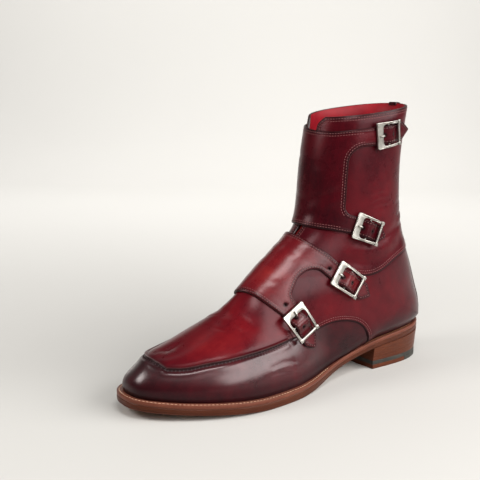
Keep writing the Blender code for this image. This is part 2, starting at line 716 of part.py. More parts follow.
def make_heel(leather, rubber, parts):
    breast = HEEL_BACK_X + HEEL_LENGTH
    ground = LIFT_LAYERS["ground"]
    lift_top = ground + GAP + LIFT_LAYERS["lift"]
    bottom, top = heel_ribs(HEEL_TAPER, HEEL_BACK_X, breast), heel_ribs(0, HEEL_BACK_X, breast)
    flat = {
        height: (lambda x, height=height: np.full(x.shape, height))
        for height in (0.0, ground, ground + GAP, lift_top, lift_top + GAP)
    }
    made = [slab(
        "heel_stack", bottom, top, flat[lift_top + GAP], lambda x: underside_height(x) - GAP, leather, parts,
    )]
    made.append(slab("heel_lift", bottom, bottom, flat[ground + GAP], flat[lift_top], rubber, parts))
    rear = heel_ribs(HEEL_TAPER, HEEL_BACK_X, RUBBER_QUARTER_X - GAP / 2)
    front = heel_ribs(HEEL_TAPER, RUBBER_QUARTER_X + GAP / 2, breast)
    made.append(slab("top_piece_rear", rear, rear, flat[0.0], flat[ground], rubber, parts))
    made.append(slab("top_piece_front", front, front, flat[0.0], flat[ground], leather, parts))
    return made


# ---------------------------------------------------------------- backstay
BACKSTAY_ROWS = 22
BACKSTAY_TOP_V = -0.006
BACKSTAY_END_V = 0.497
BACKSTAY_LEATHER = 0.0013


def back_point(off, v, proud):
    """Point at a distance off round from the back seam, + to the outside."""
    side = np.where(off >= 0, 1.0, -1.0)
    steps = 1 - np.linspace(0, 0.6, GIRTH_STEPS)
    girth = lengths_along(last_point(v[:, None], side[:, None] * steps))
    u = np.array([np.interp(abs(o), g, steps) for o, g in zip(off, girth)]) * side
    return last_point(v, u) + last_normal(v, u) * proud


def make_backstay(material, parts):
    v = np.linspace(BACKSTAY_TOP_V, BACKSTAY_END_V, BACKSTAY_ROWS)
    across = np.linspace(-1, 1, 7)
    down = column(BACKSTAY, BACKSTAY_COLUMNS, "down")
    half = np.interp(v / BACKSTAY_END_V, down, MM * column(BACKSTAY, BACKSTAY_COLUMNS, "half_width"))
    rows, columns = np.meshgrid(v, across, indexing="ij")
    off = columns * half[:, None]
    skins = []
    for proud in (OVERLAY_GAP, OVERLAY_GAP + BACKSTAY_LEATHER):
        skin = back_point(off.ravel(), rows.ravel(), proud)
        skin[:, 2] = np.maximum(skin[:, 2], feather_height(skin[:, 0]))
        skins.append(skin.reshape(*off.shape, 3))
    return plate("backstay", *skins, material, parts)


# ---------------------------------------------------------------- buckles
PRONG_PATH = [          # s, height above the upper, in millimetres
    (-1.9, 2.3), (-3.0, 3.0), (-4.4, 4.4), (-6.4, 5.2), (-9.6, 5.5), (-12.4, 5.55),
]
PRONG_SLOT = (-4.0, 5.4, 2.6)   # s of its middle, its length and its width, in millimetres


def flat_frame(strap, collection):
    """The frame's outline and opening as a filled 2D curve: s along x, t along y."""
    front = -strap.length / 2 - FRONT_BAR / 2
    rear = strap.length / 2 + REAR_BAR / 2
    curve = bpy.data.curves.new("frame", "CURVE")
    curve.dimensions = "2D"
    curve.fill_mode = "BOTH"
    curve.extrude = FRAME_THICK / 2 - 0.0003
    curve.bevel_depth = 0.0003
    curve.bevel_resolution = 0
    half_front, half_rear = FRONT_WIDTH / 2, REAR_WIDTH / 2
    outer = [
        (front, -half_front, 1.2), (rear, -half_rear, 0.8), (rear, half_rear, 0.8), (front, half_front, 1.2),
    ]
    inner_front, inner_rear = front + FRONT_BAR, rear - REAR_BAR
    inner = [
        (inner_front, half_front - SIDE_ARM, 3.2), (inner_rear, half_rear - SIDE_ARM, 1.2),
        (inner_rear, SIDE_ARM - half_rear, 1.2), (inner_front, SIDE_ARM - half_front, 3.2),
    ]
    for corners in (outer, inner):
        loop = rounded([(x / MM, y / MM, radius) for x, y, radius in corners], step=1.4) * MM
        spline_made = curve.splines.new("POLY")
        spline_made.points.add(len(loop) - 1)
        spline_made.use_cyclic_u = True
        for point, place in zip(spline_made.points, loop):
            point.co = (*place, 0, 1)
    frame = bpy.data.objects.new("frame", curve)
    collection.objects.link(frame)
    return mesh_from_curve(frame, collection)


def straight_bar(half_length, collection):
    across = (math.pi / 2, 0, 0)
    bpy.ops.mesh.primitive_cylinder_add(vertices=8, radius=WIRE, depth=2 * half_length, rotation=across)
    bar = bpy.context.object
    move_to(bar, collection)
    return bar


def knob(place, collection):
    bpy.ops.mesh.primitive_cube_add(size=KNOB, location=place)
    cube = bpy.context.object
    move_to(cube, collection)
    return cube


def move_to(thing, collection):
    for owner in list(thing.users_collection):
        owner.objects.unlink(thing)
    collection.objects.link(thing)


def place_on(strap, thing):
    """Stands the object on the upper at the strap's buckle: x along the strap, z outwards."""
    matrix = np.eye(4)
    matrix[:3, 0] = strap.forward
    matrix[:3, 1] = strap.sideways
    matrix[:3, 2] = strap.out
    matrix[:3, 3] = strap.origin
    thing.matrix_world = Matrix(matrix.tolist())


def bent(strap, mesh):
    """Bends a flat piece along the strap, as the boot is curved there."""
    for vertex in mesh.vertices:
        vertex.co.z += strap.seat + strap.curve * vertex.co.x ** 2


def make_buckle(index, strap, material, parts, cutters):
    frame = flat_frame(strap, cutters)
    frame.location.z = FRAME_CLEAR + FRAME_THICK / 2
    middle_bar = straight_bar(REAR_WIDTH / 2 - 0.0005, cutters)
    middle_bar.location.z = BAR_HEIGHT
    ends = [middle_bar]
    for side in (-1, 1):
        post = knob((0, side * (FRONT_WIDTH / 2 - 0.0016), BAR_HEIGHT + 0.0006), cutters)
        post.scale = (0.7, 0.45, 0.62)
        ends.append(post)
        at_rear = (strap.length / 2, side * (REAR_WIDTH / 2 - KNOB / 2 + KNOB_OUT), frame.location.z)
        ends.append(knob(at_rear, cutters))
    for piece in ends:
        boolean(frame, as_cutter(piece), "UNION")
    mesh = evaluated_mesh(frame)
    mesh.transform(frame.matrix_world)
    bent(strap, mesh)
    mesh.name = f"buckle_{index}"
    mesh.materials.clear()
    mesh.materials.append(material)
    mesh.shade_smooth()
    mesh.set_sharp_from_angle(angle=math.radians(35))
    buckle = bpy.data.objects.new(mesh.name, mesh)
    parts.objects.link(buckle)
    place_on(strap, buckle)
    for helper in [frame] + ends:
        bpy.data.objects.remove(helper)
    return buckle


def make_prong(index, strap, material, parts):
    curve = bpy.data.curves.new("prong", "CURVE")
    curve.dimensions = "3D"
    curve.bevel_depth = WIRE
    curve.bevel_resolution = 2
    curve.use_fill_caps = True
    path = curve.splines.new("POLY")
    path.points.add(len(PRONG_PATH) - 1)
    for point, (s, height) in zip(path.points, PRONG_PATH):
        point.co = (MM * s, 0, MM * height, 1)
    wire = bpy.data.objects.new(f"prong_{index}_curve", curve)
    parts.objects.link(wire)
    prong = mesh_from_curve(wire, parts)
    prong.name = f"prong_{index}"
    bent(strap, prong.data)
    prong.data.materials.clear()
    prong.data.materials.append(material)
    prong.data.shade_smooth()
    place_on(strap, prong)
    return prong


def prong_slot(index, strap, cutters):
    """A slot through the strap for its prong."""
    s, long, wide = (MM * value for value in PRONG_SLOT)
    bpy.ops.mesh.primitive_cube_add(size=1)
    cube = bpy.context.object
    cube.name = f"slot_{index}"
    move_to(cube, cutters)
    for vertex in cube.data.vertices:
        vertex.co = (s + vertex.co.x * long, vertex.co.y * wide, 0.003 + vertex.co.z * 0.008)
    place_on(strap, cube)
    return as_cutter(cube)


def main():
    clear_scene()
    parts = new_collection("dress_boot")
    cutters = new_collection("cutters")
    leather = finish("burgundy_leather", (0.16, 0.013, 0.022), 0.35)
    strap_leather = finish("strap_leather", (0.13, 0.010, 0.018), 0.35)
    tongue_leather = finish("tongue_leather", (0.20, 0.010, 0.018), 0.3)
    sole_leather = finish("sole_leather", (0.22, 0.055, 0.020), 0.4)
    insole_leather = finish("insole_leather", (0.38, 0.20, 0.11), 0.6)
    rubber = finish("rubber", (0.03, 0.03, 0.025), 0.6)
    metal = finish("buckle_metal", (0.60, 0.58, 0.54), 0.25, 1.0)
    make_outsole(sole_leather, parts)
    make_welt(sole_leather, parts)
    make_heel(sole_leather, rubber, parts)
    make_insole(insole_leather, parts)
    make_upper(leather, parts, cutters)
    inner = -WALL - OVERLAY_GAP
    patch("tongue", TONGUE, inner - 0.0014, inner - 0.0002, tongue_leather, parts, mesh_step=9.0)
    make_backstay(leather, parts)
    flaps = (
        ("ankle_flap", ANKLE_TOP, STRAPS[0], ANKLE_CUT_OUT, STRAPS[1], ANKLE_BOTTOM),
        ("instep_flap", INSTEP_TOP, STRAPS[2], INSTEP_CUT_OUT, STRAPS[3], INSTEP_BOTTOM),
    )
    for name, top, first, cut_out, second, bottom in flaps:
        rows = top + first.outline() + cut_out + second.outline() + bottom
        outer = OVERLAY_GAP + STRAP_LEATHER
        flap = patch(name, rows, OVERLAY_GAP, outer, strap_leather, parts, straps=(first, second))
        for strap in (first, second):
            boolean(flap, prong_slot(f"{name}_{strap is second}", strap, cutters))
    for index, strap in enumerate(STRAPS, start=1):
        make_buckle(index, strap, metal, parts, cutters)
        make_prong(index, strap, metal, parts)


main()
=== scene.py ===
"""Looks of the four-strap ankle dress boot, left foot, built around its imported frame.

+X points to the toe, +Y to the outside of the foot, +Z up. The leather is laid on the same last as the frame:
v runs from the collar (0) through the heel seat (V_SEAT) to the tip of the toe (1), and u runs from the crest
of the front (0) down to the sole or round to the back seam, outside (1) or inside (-1).
"""

import math

import bmesh
import bpy
import numpy as np
from numpy.linalg import norm
from mathutils import Matrix, Vector
from mathutils.bvhtree import BVHTree
from mathutils.geometry import delaunay_2d_cdt
from mathutils.kdtree import KDTree


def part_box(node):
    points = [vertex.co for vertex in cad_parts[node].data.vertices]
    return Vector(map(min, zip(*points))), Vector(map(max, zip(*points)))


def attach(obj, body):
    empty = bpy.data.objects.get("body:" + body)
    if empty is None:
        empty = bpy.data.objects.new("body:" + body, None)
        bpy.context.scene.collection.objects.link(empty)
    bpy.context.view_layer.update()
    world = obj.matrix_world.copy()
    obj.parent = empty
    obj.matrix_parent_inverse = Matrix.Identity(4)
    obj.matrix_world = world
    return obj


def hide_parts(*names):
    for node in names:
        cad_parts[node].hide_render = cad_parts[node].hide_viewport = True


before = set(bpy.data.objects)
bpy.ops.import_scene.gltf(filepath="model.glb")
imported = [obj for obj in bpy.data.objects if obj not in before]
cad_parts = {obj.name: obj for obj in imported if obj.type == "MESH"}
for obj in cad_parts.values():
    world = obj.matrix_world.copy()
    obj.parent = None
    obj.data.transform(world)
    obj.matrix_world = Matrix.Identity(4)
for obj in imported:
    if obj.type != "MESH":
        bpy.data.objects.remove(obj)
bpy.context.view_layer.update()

MM = 0.001


def columns(names, rows):
    """A table's columns by name."""
    return dict(zip(names.split(), np.array(rows, float).T))


# -------- driving dimensions, in metres
LENGTH = 0.302          # of the last at the feather line, where upper meets welt
BALL_WIDTH = 0.094      # of the last at the feather line
BOOT_HEIGHT = 0.232     # floor to the back of the collar
HEEL_RISE = 0.027       # floor to the outsole at the back of the heel
HEEL_LENGTH = 0.074     # back of the last to the heel breast
WALL = 0.0022           # upper leather with its lining
STRAP_LEATHER = 0.0018
STRAP_WIDTH = 0.0145
GAP = 0.0003            # between pieces that touch
OVERLAY_GAP = 0.0005    # between the upper and an overlay, whose facets differ from its own
V_SEAT = 0.5            # v of the section that ends at the heel seat

HALF_BALL = BALL_WIDTH / 2
HEEL_BACK_X = -0.1528    # so that the origin is under the middle of the boot
BREAST_X = HEEL_BACK_X + HEEL_LENGTH

# -------- tables of the last
# Feather line. x is a share of the length, the sides are shares of half the ball width.
OUTLINE = columns("x outside inside", [
    (0.0, 0.0, 0.0), (0.018, 0.32, -0.31), (0.076, 0.55, -0.53), (0.169, 0.63, -0.61),
    (0.285, 0.61, -0.59), (0.4, 0.62, -0.57), (0.533, 0.86, -0.77), (0.659, 1.0, -0.98),
    (0.781, 0.97, -0.98), (0.887, 0.7, -0.81), (0.957, 0.4, -0.62), (0.992, 0.15, -0.38),
    (1.0, -0.09, -0.09),
])

# Height of the sole. underside is a share of the heel rise, edge and stand_out are in millimetres: how thick
# the sole's edge is, and how far it stands out past the feather line.
SOLE = columns("x underside edge stand_out", [
    (-0.02, 1.0, 8.2, 0.6), (0.119, 0.86, 8.1, 0.5), (0.242, 0.72, 7.4, 0.7),
    (0.384, 0.345, 7.6, 1.8), (0.5, 0.06, 9.2, 3.6), (0.573, 0.0, 9.5, 4.4),
    (0.692, 0.0, 9.4, 4.6), (0.798, 0.09, 8.9, 4.6), (0.914, 0.185, 8.5, 4.6),
    (1.02, 0.3, 8.5, 4.6),
])

# Sections of the last. crest_x and back_x are shares of the length, crest_z and back_z of the boot's height,
# widths of half the ball width. widest is where along the section it is widest, front_round and back_round
# how square it is there. foot says how far it spreads over the top of the foot before it comes down, and toe
# how far it does so forwards as well. bulge is in metres.
SECTIONS = columns("v crest_x crest_y crest_z back_x back_z out_width in_width widest "
                   "front_round back_round foot toe bulge", [
    (0.0, 0.4, 0.0, 0.957, 0.094, 1.0, 0.78, 0.78, 0.5, 2.0, 2.2, 0.0, 0.0, 0.0),
    (0.12, 0.421, 0.0, 0.815, 0.114, 0.819, 0.77, 0.77, 0.5, 2.0, 2.2, 0.0, 0.0, 0.0),
    (0.24, 0.432, 0.0, 0.687, 0.112, 0.647, 0.77, 0.77, 0.5, 2.0, 2.2, 0.0, 0.0, 0.0),
    (0.36, 0.449, 0.0, 0.582, 0.084, 0.483, 0.78, 0.77, 0.5, 2.0, 2.2, 0.0, 0.0, 0.0),
    (0.44, 0.485, 0.0, 0.53, 0.035, 0.323, 0.8, 0.78, 0.5, 2.0, 2.2, 0.0, 0.0, 0.0),
    (0.5, 0.533, -0.02, 0.481, 0.0, 0.151, 0.82, 0.8, 0.52, 2.0, 2.4, 0.0, 0.0, 0.0),
    (0.6, 0.596, -0.04, 0.416, 0.0, 0.0, 0.83, 0.8, 0.55, 2.0, 2.4, 0.15, 0.0, 0.001),
    (0.7, 0.656, -0.06, 0.351, 0.0, 0.0, 0.87, 0.81, 0.6, 2.0, 2.4, 0.6, 0.0, 0.002),
    (0.8, 0.725, -0.06, 0.287, 0.0, 0.0, 1.0, 0.98, 0.7, 2.0, 2.4, 1.0, 0.0, 0.002),
    (0.9, 0.821, -0.08, 0.224, 0.0, 0.0, 1.0, 0.98, 0.7, 2.2, 2.4, 1.0, 0.3, 0.002),
    (0.96, 0.874, -0.08, 0.193, 0.0, 0.0, 1.0, 0.98, 0.7, 2.4, 2.4, 1.0, 0.9, 0.0015),
    (1.0, 0.884, -0.08, 0.19, 0.0, 0.0, 1.0, 0.98, 0.7, 2.4, 2.4, 1.0, 1.0, 0.0015),
])

# -------- pattern pieces, in millimetres
# across runs round the boot from the crest of the front, + to the outside; along runs down the crest from the
# collar to the toe. The third number is the radius of the corner there.
FRONT_SLIT = [
    (-25, -6, 1), (12, -6, 1), (9, 0, 5), (2, 3.5, 6), (1, 12, 20), (2.6, 60, 20), (2.6, 108, 2),
    (-2.6, 108, 2), (-2.6, 60, 20), (-12, 22, 20), (-16, 8, 12), (-18.5, 1, 4),
]
TONGUE = [(-20, 11, 6), (20, 11, 6), (24, 60, 30), (22, 118, 8), (-22, 118, 8), (-24, 60, 30)]
# Each flap: its edge to the first strap, the cut-out between its straps, and its edge back from the second.
ANKLE_TOP = [(-66, 9, 5), (-24, 9, 60), (4, 11.5, 60), (18, 12.4, 60), (36, 11.3, 60)]
ANKLE_CUT_OUT = [(34, 25.5, 12), (35.5, 77, 9)]
ANKLE_BOTTOM = [(28, 91.3, 60), (10, 92.5, 60), (-10, 92, 60), (-66, 89, 5)]
INSTEP_TOP = [(-62, 103, 9), (-8, 101.5, 60), (8, 103.6, 50), (22, 107.4, 60), (36, 110.6, 60)]
INSTEP_CUT_OUT = [(37, 125, 9), (30, 138, 20), (36, 155, 7)]
INSTEP_BOTTOM = [(26, 169.5, 50), (9, 168.6, 60), (-5, 172, 40), (-62, 172, 12)]
# Straps in their buckles: across and along of the middle of the front bar, then of the rear bar, then how far
# the strap's point reaches past the rear bar and how far it lifts there.
BUCKLES = [
    (56.6, 17.5, 79.1, 16.3, 16, 3.0),
    (47.2, 84.9, 70.1, 88.2, 10, 0.6),
    (54.7, 123.0, 81.2, 128.6, 16, 0.6),
    (44.8, 165.5, 67.5, 170.7, 15, 0.6),
]
# Backstay: half width at shares of the way down the back, in millimetres.
BACKSTAY = columns("down half_width", [(0.0, 13.0), (0.3, 12.0), (0.6, 13.0), (0.85, 16.0), (1.0, 18.0)])


# -------- curves
def spline(knots, values, at):
    """Natural cubic spline through the rows of values, read at one or many places."""
    knots, at = np.asarray(knots, float), np.asarray(at, float)
    rows = np.asarray(values, float).reshape(len(knots), -1)
    count, step = len(knots), np.diff(knots)
    system, right = np.eye(count), np.zeros_like(rows)
    for i in range(1, count - 1):
        system[i, i - 1:i + 2] = step[i - 1], 2 * (step[i - 1] + step[i]), step[i]
        right[i] = 6 * ((rows[i + 1] - rows[i]) / step[i] - (rows[i] - rows[i - 1]) / step[i - 1])
    bend = np.linalg.solve(system, right)
    flat = at.ravel()
    i = np.clip(np.searchsorted(knots, flat) - 1, 0, count - 2)
    past, left, width = (flat - knots[i])[:, None], (knots[i + 1] - flat)[:, None], step[i][:, None]
    result = (bend[i] * left ** 3 + bend[i + 1] * past ** 3) / (6 * width)
    result += (rows[i] / width - bend[i] * width / 6) * left
    result += (rows[i + 1] / width - bend[i + 1] * width / 6) * past
    return result.reshape(at.shape + np.shape(values)[1:])


def lengths_along(points):
    lengths = np.cumsum(norm(np.diff(points, axis=-2), axis=-1), axis=-1)
    return np.concatenate([np.zeros(lengths.shape[:-1] + (1,)), lengths], axis=-1)


def knots_of(points):
    """Places along a smooth curve for the points that it goes through."""
    return np.concatenate([[0], np.cumsum(np.sqrt(norm(np.diff(points, axis=0), axis=1)))])


def feather_loop():
    """The feather line in plan, from the heel round the outside to the toe and back, and its lengths."""
    x = HEEL_BACK_X + LENGTH * OUTLINE["x"]
    there = np.stack([x, HALF_BALL * OUTLINE["outside"]], axis=-1)
    back = np.stack([x, HALF_BALL * OUTLINE["inside"]], axis=-1)[-2:0:-1]
    loop = np.concatenate([there, back])
    overlap = 4
    around = np.concatenate([loop[-overlap:], loop, loop[:overlap + 1]])
    knots = knots_of(around)
    at = np.linspace(knots[overlap], knots[overlap + len(loop)], 4001)
    curve = spline(knots, around, at)
    toe = int(np.argmin(np.abs(at - knots[overlap + len(there) - 1])))
    return curve, lengths_along(curve), toe


FEATHER, FEATHER_LENGTH, TOE_INDEX = feather_loop()


def feather_point(side, share):
    """Place on the feather line at a share of the way from heel to toe, outside (1) or inside (-1)."""
    share = np.asarray(share, float)
    to_toe, whole = FEATHER_LENGTH[[TOE_INDEX, -1]]
    at = share * to_toe if side > 0 else whole - share * (whole - to_toe)
    return np.stack([np.interp(at, FEATHER_LENGTH, FEATHER[:, i]) for i in range(2)], axis=-1)


def feather_outward(side, share):
    """Direction in plan that points out of the last there."""
    small = 0.004
    ahead = feather_point(side, np.clip(share + small, 0, 1))
    tangent = ahead - feather_point(side, np.clip(share - small, 0, 1))
    tangent = side * tangent / norm(tangent, axis=-1, keepdims=True)
    return np.stack([-tangent[..., 1], tangent[..., 0]], axis=-1)


def sole_value(name, x):
    share = (np.asarray(x, float) - HEEL_BACK_X) / LENGTH
    return spline(SOLE["x"], SOLE[name], share)


def underside_height(x):
    return HEEL_RISE * np.maximum(sole_value("underside", x), 0)


def feather_height(x):
    return underside_height(x) + MM * sole_value("edge", x)


# -------- surface of the last
def section_values(v):
    values = spline(SECTIONS["v"], np.column_stack(list(SECTIONS.values())), v)
    return dict(zip(SECTIONS, np.moveaxis(values, -1, 0)))


def last_point(v, u):
    """Point of the upper's outer face."""
    v, u = np.broadcast_arrays(np.asarray(v, float), np.asarray(u, float))
    row = section_values(v)
    outside = u >= 0
    side = np.where(outside, 1.0, -1.0)
    share = np.sin(np.pi / 2 * u) ** 2
    crest_x = HEEL_BACK_X + LENGTH * row["crest_x"]
    crest_y, crest_z = HALF_BALL * row["crest_y"], BOOT_HEIGHT * row["crest_z"]
    # Where the section ends: on the back seam above the heel seat, on the feather line from there on.
    along = np.clip((v - V_SEAT) / (1 - V_SEAT), 0, 1)
    edge_out, edge_in = (feather_point(way, along) for way in (1, -1))
    foot = np.where(outside[..., None], edge_out, edge_in)
    normal = np.where(outside[..., None], feather_outward(1, along), feather_outward(-1, along))
    shaft = np.column_stack([SECTIONS[name] for name in ("v", "back_x", "back_z")])[SECTIONS["v"] <= V_SEAT]
    back = spline(shaft[:, 0], shaft[:, 1:], np.minimum(v, V_SEAT))
    on_foot = v > V_SEAT
    end_x = np.where(on_foot, foot[..., 0], HEEL_BACK_X + LENGTH * back[..., 0])
    end_y = np.where(on_foot, foot[..., 1], 0.0)
    end_z = np.where(on_foot, feather_height(foot[..., 0]), BOOT_HEIGHT * back[..., 1])
    middle_y = np.where(on_foot, (edge_out[..., 1] + edge_in[..., 1]) / 2, 0.0)
    end_width = np.abs(end_y - middle_y)
    width = HALF_BALL * np.where(outside, row["out_width"], row["in_width"])
    width = np.maximum(width, end_width * 1.0001)
    # An oval section: a rounded front up to its widest place, then in to the width at its end.
    widest, front_round, back_round = row["widest"], row["front_round"], row["back_round"]
    front = (1 - np.clip(1 - share / widest, 0, 1) ** front_round) ** (1 / front_round)
    rest = np.clip((share - widest) / (1 - widest), 0, 1)
    taper = 1 - (end_width / width) ** back_round
    rear = np.maximum(1 - taper * rest ** back_round, 0) ** (1 / back_round)
    oval = np.where(share < widest, front, rear)
    oval_x = crest_x + (end_x - crest_x) * share
    oval_y = crest_y + (middle_y - crest_y) * share + side * width * oval
    z = crest_z + (end_z - crest_z) * share
    # A foot section: over the top and down a wall that bulges a little past the feather line.
    over = (1 - (1 - share) ** front_round) ** (1 / front_round)
    swell = row["bulge"] * np.sin(np.pi * share ** 1.5)
    foot_x = crest_x + (end_x - crest_x) * over
    foot_y = crest_y + (end_y - crest_y) * over + normal[..., 1] * swell
    foot, toe = np.clip(row["foot"], 0, 1), np.clip(row["toe"], 0, 1)
    x = (1 - toe) * oval_x + toe * foot_x + foot * normal[..., 0] * swell
    y = (1 - foot) * oval_y + foot * foot_y
    return np.stack([x, y, z], axis=-1)


def last_normal(v, u):
    small = 0.001
    v, u = np.broadcast_arrays(np.asarray(v, float), np.asarray(u, float))
    down = last_point(np.minimum(v + small, 1), u) - last_point(v - small, u)
    across = last_point(v, np.minimum(u + small, 1)) - last_point(v, np.maximum(u - small, -1))
    normal = np.cross(down, across)
    return normal / norm(normal, axis=-1, keepdims=True)


CREST_V = np.linspace(-0.03, 1, 413)
CREST_LENGTH = lengths_along(last_point(CREST_V, 0.0))
CREST_LENGTH -= np.interp(0, CREST_V, CREST_LENGTH)
GIRTH_STEPS = 61
GIRTH = np.stack([
    lengths_along(last_point(CREST_V[:, None], side * np.linspace(0, 1, GIRTH_STEPS))) for side in (1, -1)
])


def surface_numbers(across, along):
    """v and u of places of the flat pattern."""
    v = np.interp(along, CREST_LENGTH, CREST_V)
    row = np.clip((v - CREST_V[0]) / (CREST_V[1] - CREST_V[0]), 0, len(CREST_V) - 1.001)
    i = row.astype(int)
    share = (row - i)[:, None]
    side = (across < 0).astype(int)
    girth = GIRTH[side, i] * (1 - share) + GIRTH[side, i + 1] * share
    reach = np.abs(across)
    k = np.clip((girth < reach[:, None]).sum(axis=1) - 1, 0, GIRTH_STEPS - 2)
    each = np.arange(len(k))
    part = (reach - girth[each, k]) / np.maximum(girth[each, k + 1] - girth[each, k], 1e-12)
    u = (k + np.clip(part, 0, 1)) / (GIRTH_STEPS - 1)
    return v, np.where(across >= 0, u, -u)


def surface_at(across, along, proud):
    """Point on the boot at a place of the flat pattern, standing proud of the upper's outer face."""
    v, u = surface_numbers(np.asarray(across, float), np.asarray(along, float))
    return last_point(v, u) + last_normal(v, u) * np.asarray(proud, float)[..., None]


FRAME_THICK = 0.0020
FRAME_CLEAR = OVERLAY_GAP + STRAP_LEATHER + GAP     # underside of a frame above the upper
FRONT_BAR = 0.0056
REAR_BAR = 0.0022
SIDE_ARM = 0.0021
FRONT_WIDTH = 0.0225
REAR_WIDTH = 0.0205
KNOB = 0.0032
KNOB_OUT = 0.0006       # how far the knobs stand out past the rear bar
WIRE = 0.0007           # radius of the middle bar
BAR_HEIGHT = 0.0019     # of the middle bar above the upper
STRAP_EDGE = STRAP_WIDTH / 2
HUMP = 0.0029           # how far a strap rises over its buckle's middle bar
HUMP_REACH = 0.009
SHOULDER = 0.008        # length of a strap's pointed end


class Strap:
    """A strap at its buckle. s runs along it from the middle bar to its point and t across it, in metres."""

    def __init__(self, row):
        row = MM * np.array(row)
        front, rear = row[:2], row[2:4]
        self.middle = (front + rear) / 2
        self.tail, self.lift = row[4:]
        ends = surface_at(*np.array([front, rear, self.middle]).T, np.zeros(3))
        above = surface_at(*self.middle[:, None], np.array([MM]))[0]
        self.origin = ends[2]
        self.length = norm(ends[1] - ends[0])
        self.set_axes(ends[1] - ends[0], above - ends[2])
        self.settle()
        self.settle()

    def set_axes(self, forward, out):
        self.forward = forward / norm(forward)
        out = out - self.forward * (out @ self.forward)
        self.out = out / norm(out)
        self.sideways = np.cross(self.out, self.forward)
        self.to_pattern = np.linalg.inv(self.local(self.middle + MM * np.eye(2)) / MM)

    def settle(self):
        """Turns the buckle to lie flat on the boot, and finds how much the boot curves under it."""
        reach = self.length / 2 + FRONT_BAR / 2
        s, t = (grid.ravel() for grid in np.meshgrid(
            np.linspace(-reach, reach, 9), np.linspace(-1, 1, 7) * FRONT_WIDTH / 2,
        ))
        under = surface_at(*self.pattern(s, t).T, np.zeros(len(s))) - self.origin
        s, t, height = under @ self.forward, under @ self.sideways, under @ self.out
        terms = np.stack([np.ones(len(s)), s, t, s * s], axis=1)
        tip, tilt, curve = np.linalg.lstsq(terms, height, rcond=None)[0][1:]
        self.set_axes(self.forward + tip * self.out, self.out - tilt * self.sideways)
        self.curve = curve
        self.seat = np.max(height - terms[:, 1:] @ np.array([tip, tilt, curve]))

    def local(self, pattern):
        """Place along and across the strap, seen from above it, of places in the flat pattern."""
        places = surface_at(*pattern.T, np.zeros(len(pattern))) - self.origin
        return places @ np.stack([self.forward, self.sideways], axis=1)

    def pattern(self, s, t):
        """Places in the flat pattern, in metres, of places of the strap."""
        wanted = np.column_stack([s, t])
        found = self.middle + wanted @ self.to_pattern
        for _ in range(4):
            found = found + (wanted - self.local(found)) @ self.to_pattern
        return found

    def outline(self):
        """Pattern rows of the strap: in along its upper edge, round its point and back, in millimetres."""
        start, end = -self.length / 2, self.length / 2 + self.tail
        s, t, corner = np.array([
            (start, STRAP_EDGE, 20), (end - SHOULDER, STRAP_EDGE, 4), (end, 0, 1),
            (end - SHOULDER, -STRAP_EDGE, 4), (start, -STRAP_EDGE, 8),
        ]).T
        t = -t if self.sideways[2] < 0 else t
        return np.column_stack([self.pattern(s, t) / MM, corner]).tolist()

    def rise(self, pattern):
        """How far the leather stands up here, over the middle bar and towards the strap's point."""
        s, t = self.local(pattern).T
        on_strap = (np.abs(t) < STRAP_EDGE + MM) & (pattern[:, 0] > 0)      # not on the boot's other side
        over_bar = on_strap & (np.abs(s) < HUMP_REACH)
        hump = (HUMP + self.seat) * np.cos(np.pi / 2 * s / HUMP_REACH) ** 2
        past = np.clip((s - self.length / 2) / self.tail, 0, 1.2)
        return np.where(over_bar, hump, 0) + np.where(on_strap & (s > 0), self.lift * past ** 2, 0)


STRAPS = [Strap(row) for row in BUCKLES]


# -------- flat patterns laid on the last
def rounded(rows, step=3.0):
    """Closed outline through the rows of a pattern, each corner replaced by an arc of its radius."""
    points = []
    rows = np.array(rows, float)
    corners, radii = rows[:, :2], rows[:, 2]
    for i, corner in enumerate(corners):
        before, after = corners[i - 1] - corner, corners[(i + 1) % len(rows)] - corner
        reach = norm(before), norm(after)
        before, after = before / reach[0], after / reach[1]
        angle = math.acos(np.clip(before @ after, -1, 1))
        cut = min(radii[i] / math.tan(angle / 2), 0.48 * min(reach))
        radius = cut * math.tan(angle / 2)
        start, end = corner + before * cut, corner + after * cut
        turn = math.pi - angle
        count = max(1, math.ceil(turn * radius / step), math.ceil(turn / math.radians(25)))
        if turn < math.radians(2):
            points += [start, end]
            continue
        centre = corner + (before + after) / norm(before + after) * radius / math.sin(angle / 2)
        first = math.atan2(*(start - centre)[::-1])
        sweep = (math.atan2(*(end - centre)[::-1]) - first + math.pi) % (2 * math.pi) - math.pi
        for k in range(count + 1):
            at = first + sweep * k / count
            points.append(centre + radius * np.array([math.cos(at), math.sin(at)]))
    return np.array(points)


def even(loop, step):
    """The same closed outline with no stretch longer than step."""
    points = []
    for start, end in zip(loop, np.roll(loop, -1, axis=0)):
        count = max(1, math.ceil(norm(end - start) / step))
        points += [start + (end - start) * k / count for k in range(count)]
    return np.array(points)


def inside_of(loop, points):
    """Which points lie in the closed outline."""
    found = np.zeros(len(points), bool)
    for a, b in zip(loop, np.roll(loop, -1, axis=0)):
        crosses = (a[1] > points[:, 1]) != (b[1] > points[:, 1])
        slope = (b[0] - a[0]) / (b[1] - a[1]) if a[1] != b[1] else 0
        found ^= crosses & (points[:, 0] < a[0] + (points[:, 1] - a[1]) * slope)
    return found


WELT = 0.0032
TOP_PIECE, LIFT = 0.0036, 0.0032        # thickness of the heel's lowest two layers
HEEL_TAPER = 0.0015
RUBBER_QUARTER_X = HEEL_BACK_X + 0.032


def stand_out(x):
    return MM * sole_value("stand_out", x)


def edge_line(side, shares, stand):
    """The feather line moved outwards in plan by stand, a length or a function of x."""
    line = feather_point(side, shares)
    reach = stand(line[:, 0]) if callable(stand) else np.full(len(line), float(stand))
    return line + feather_outward(side, shares) * reach[:, None]


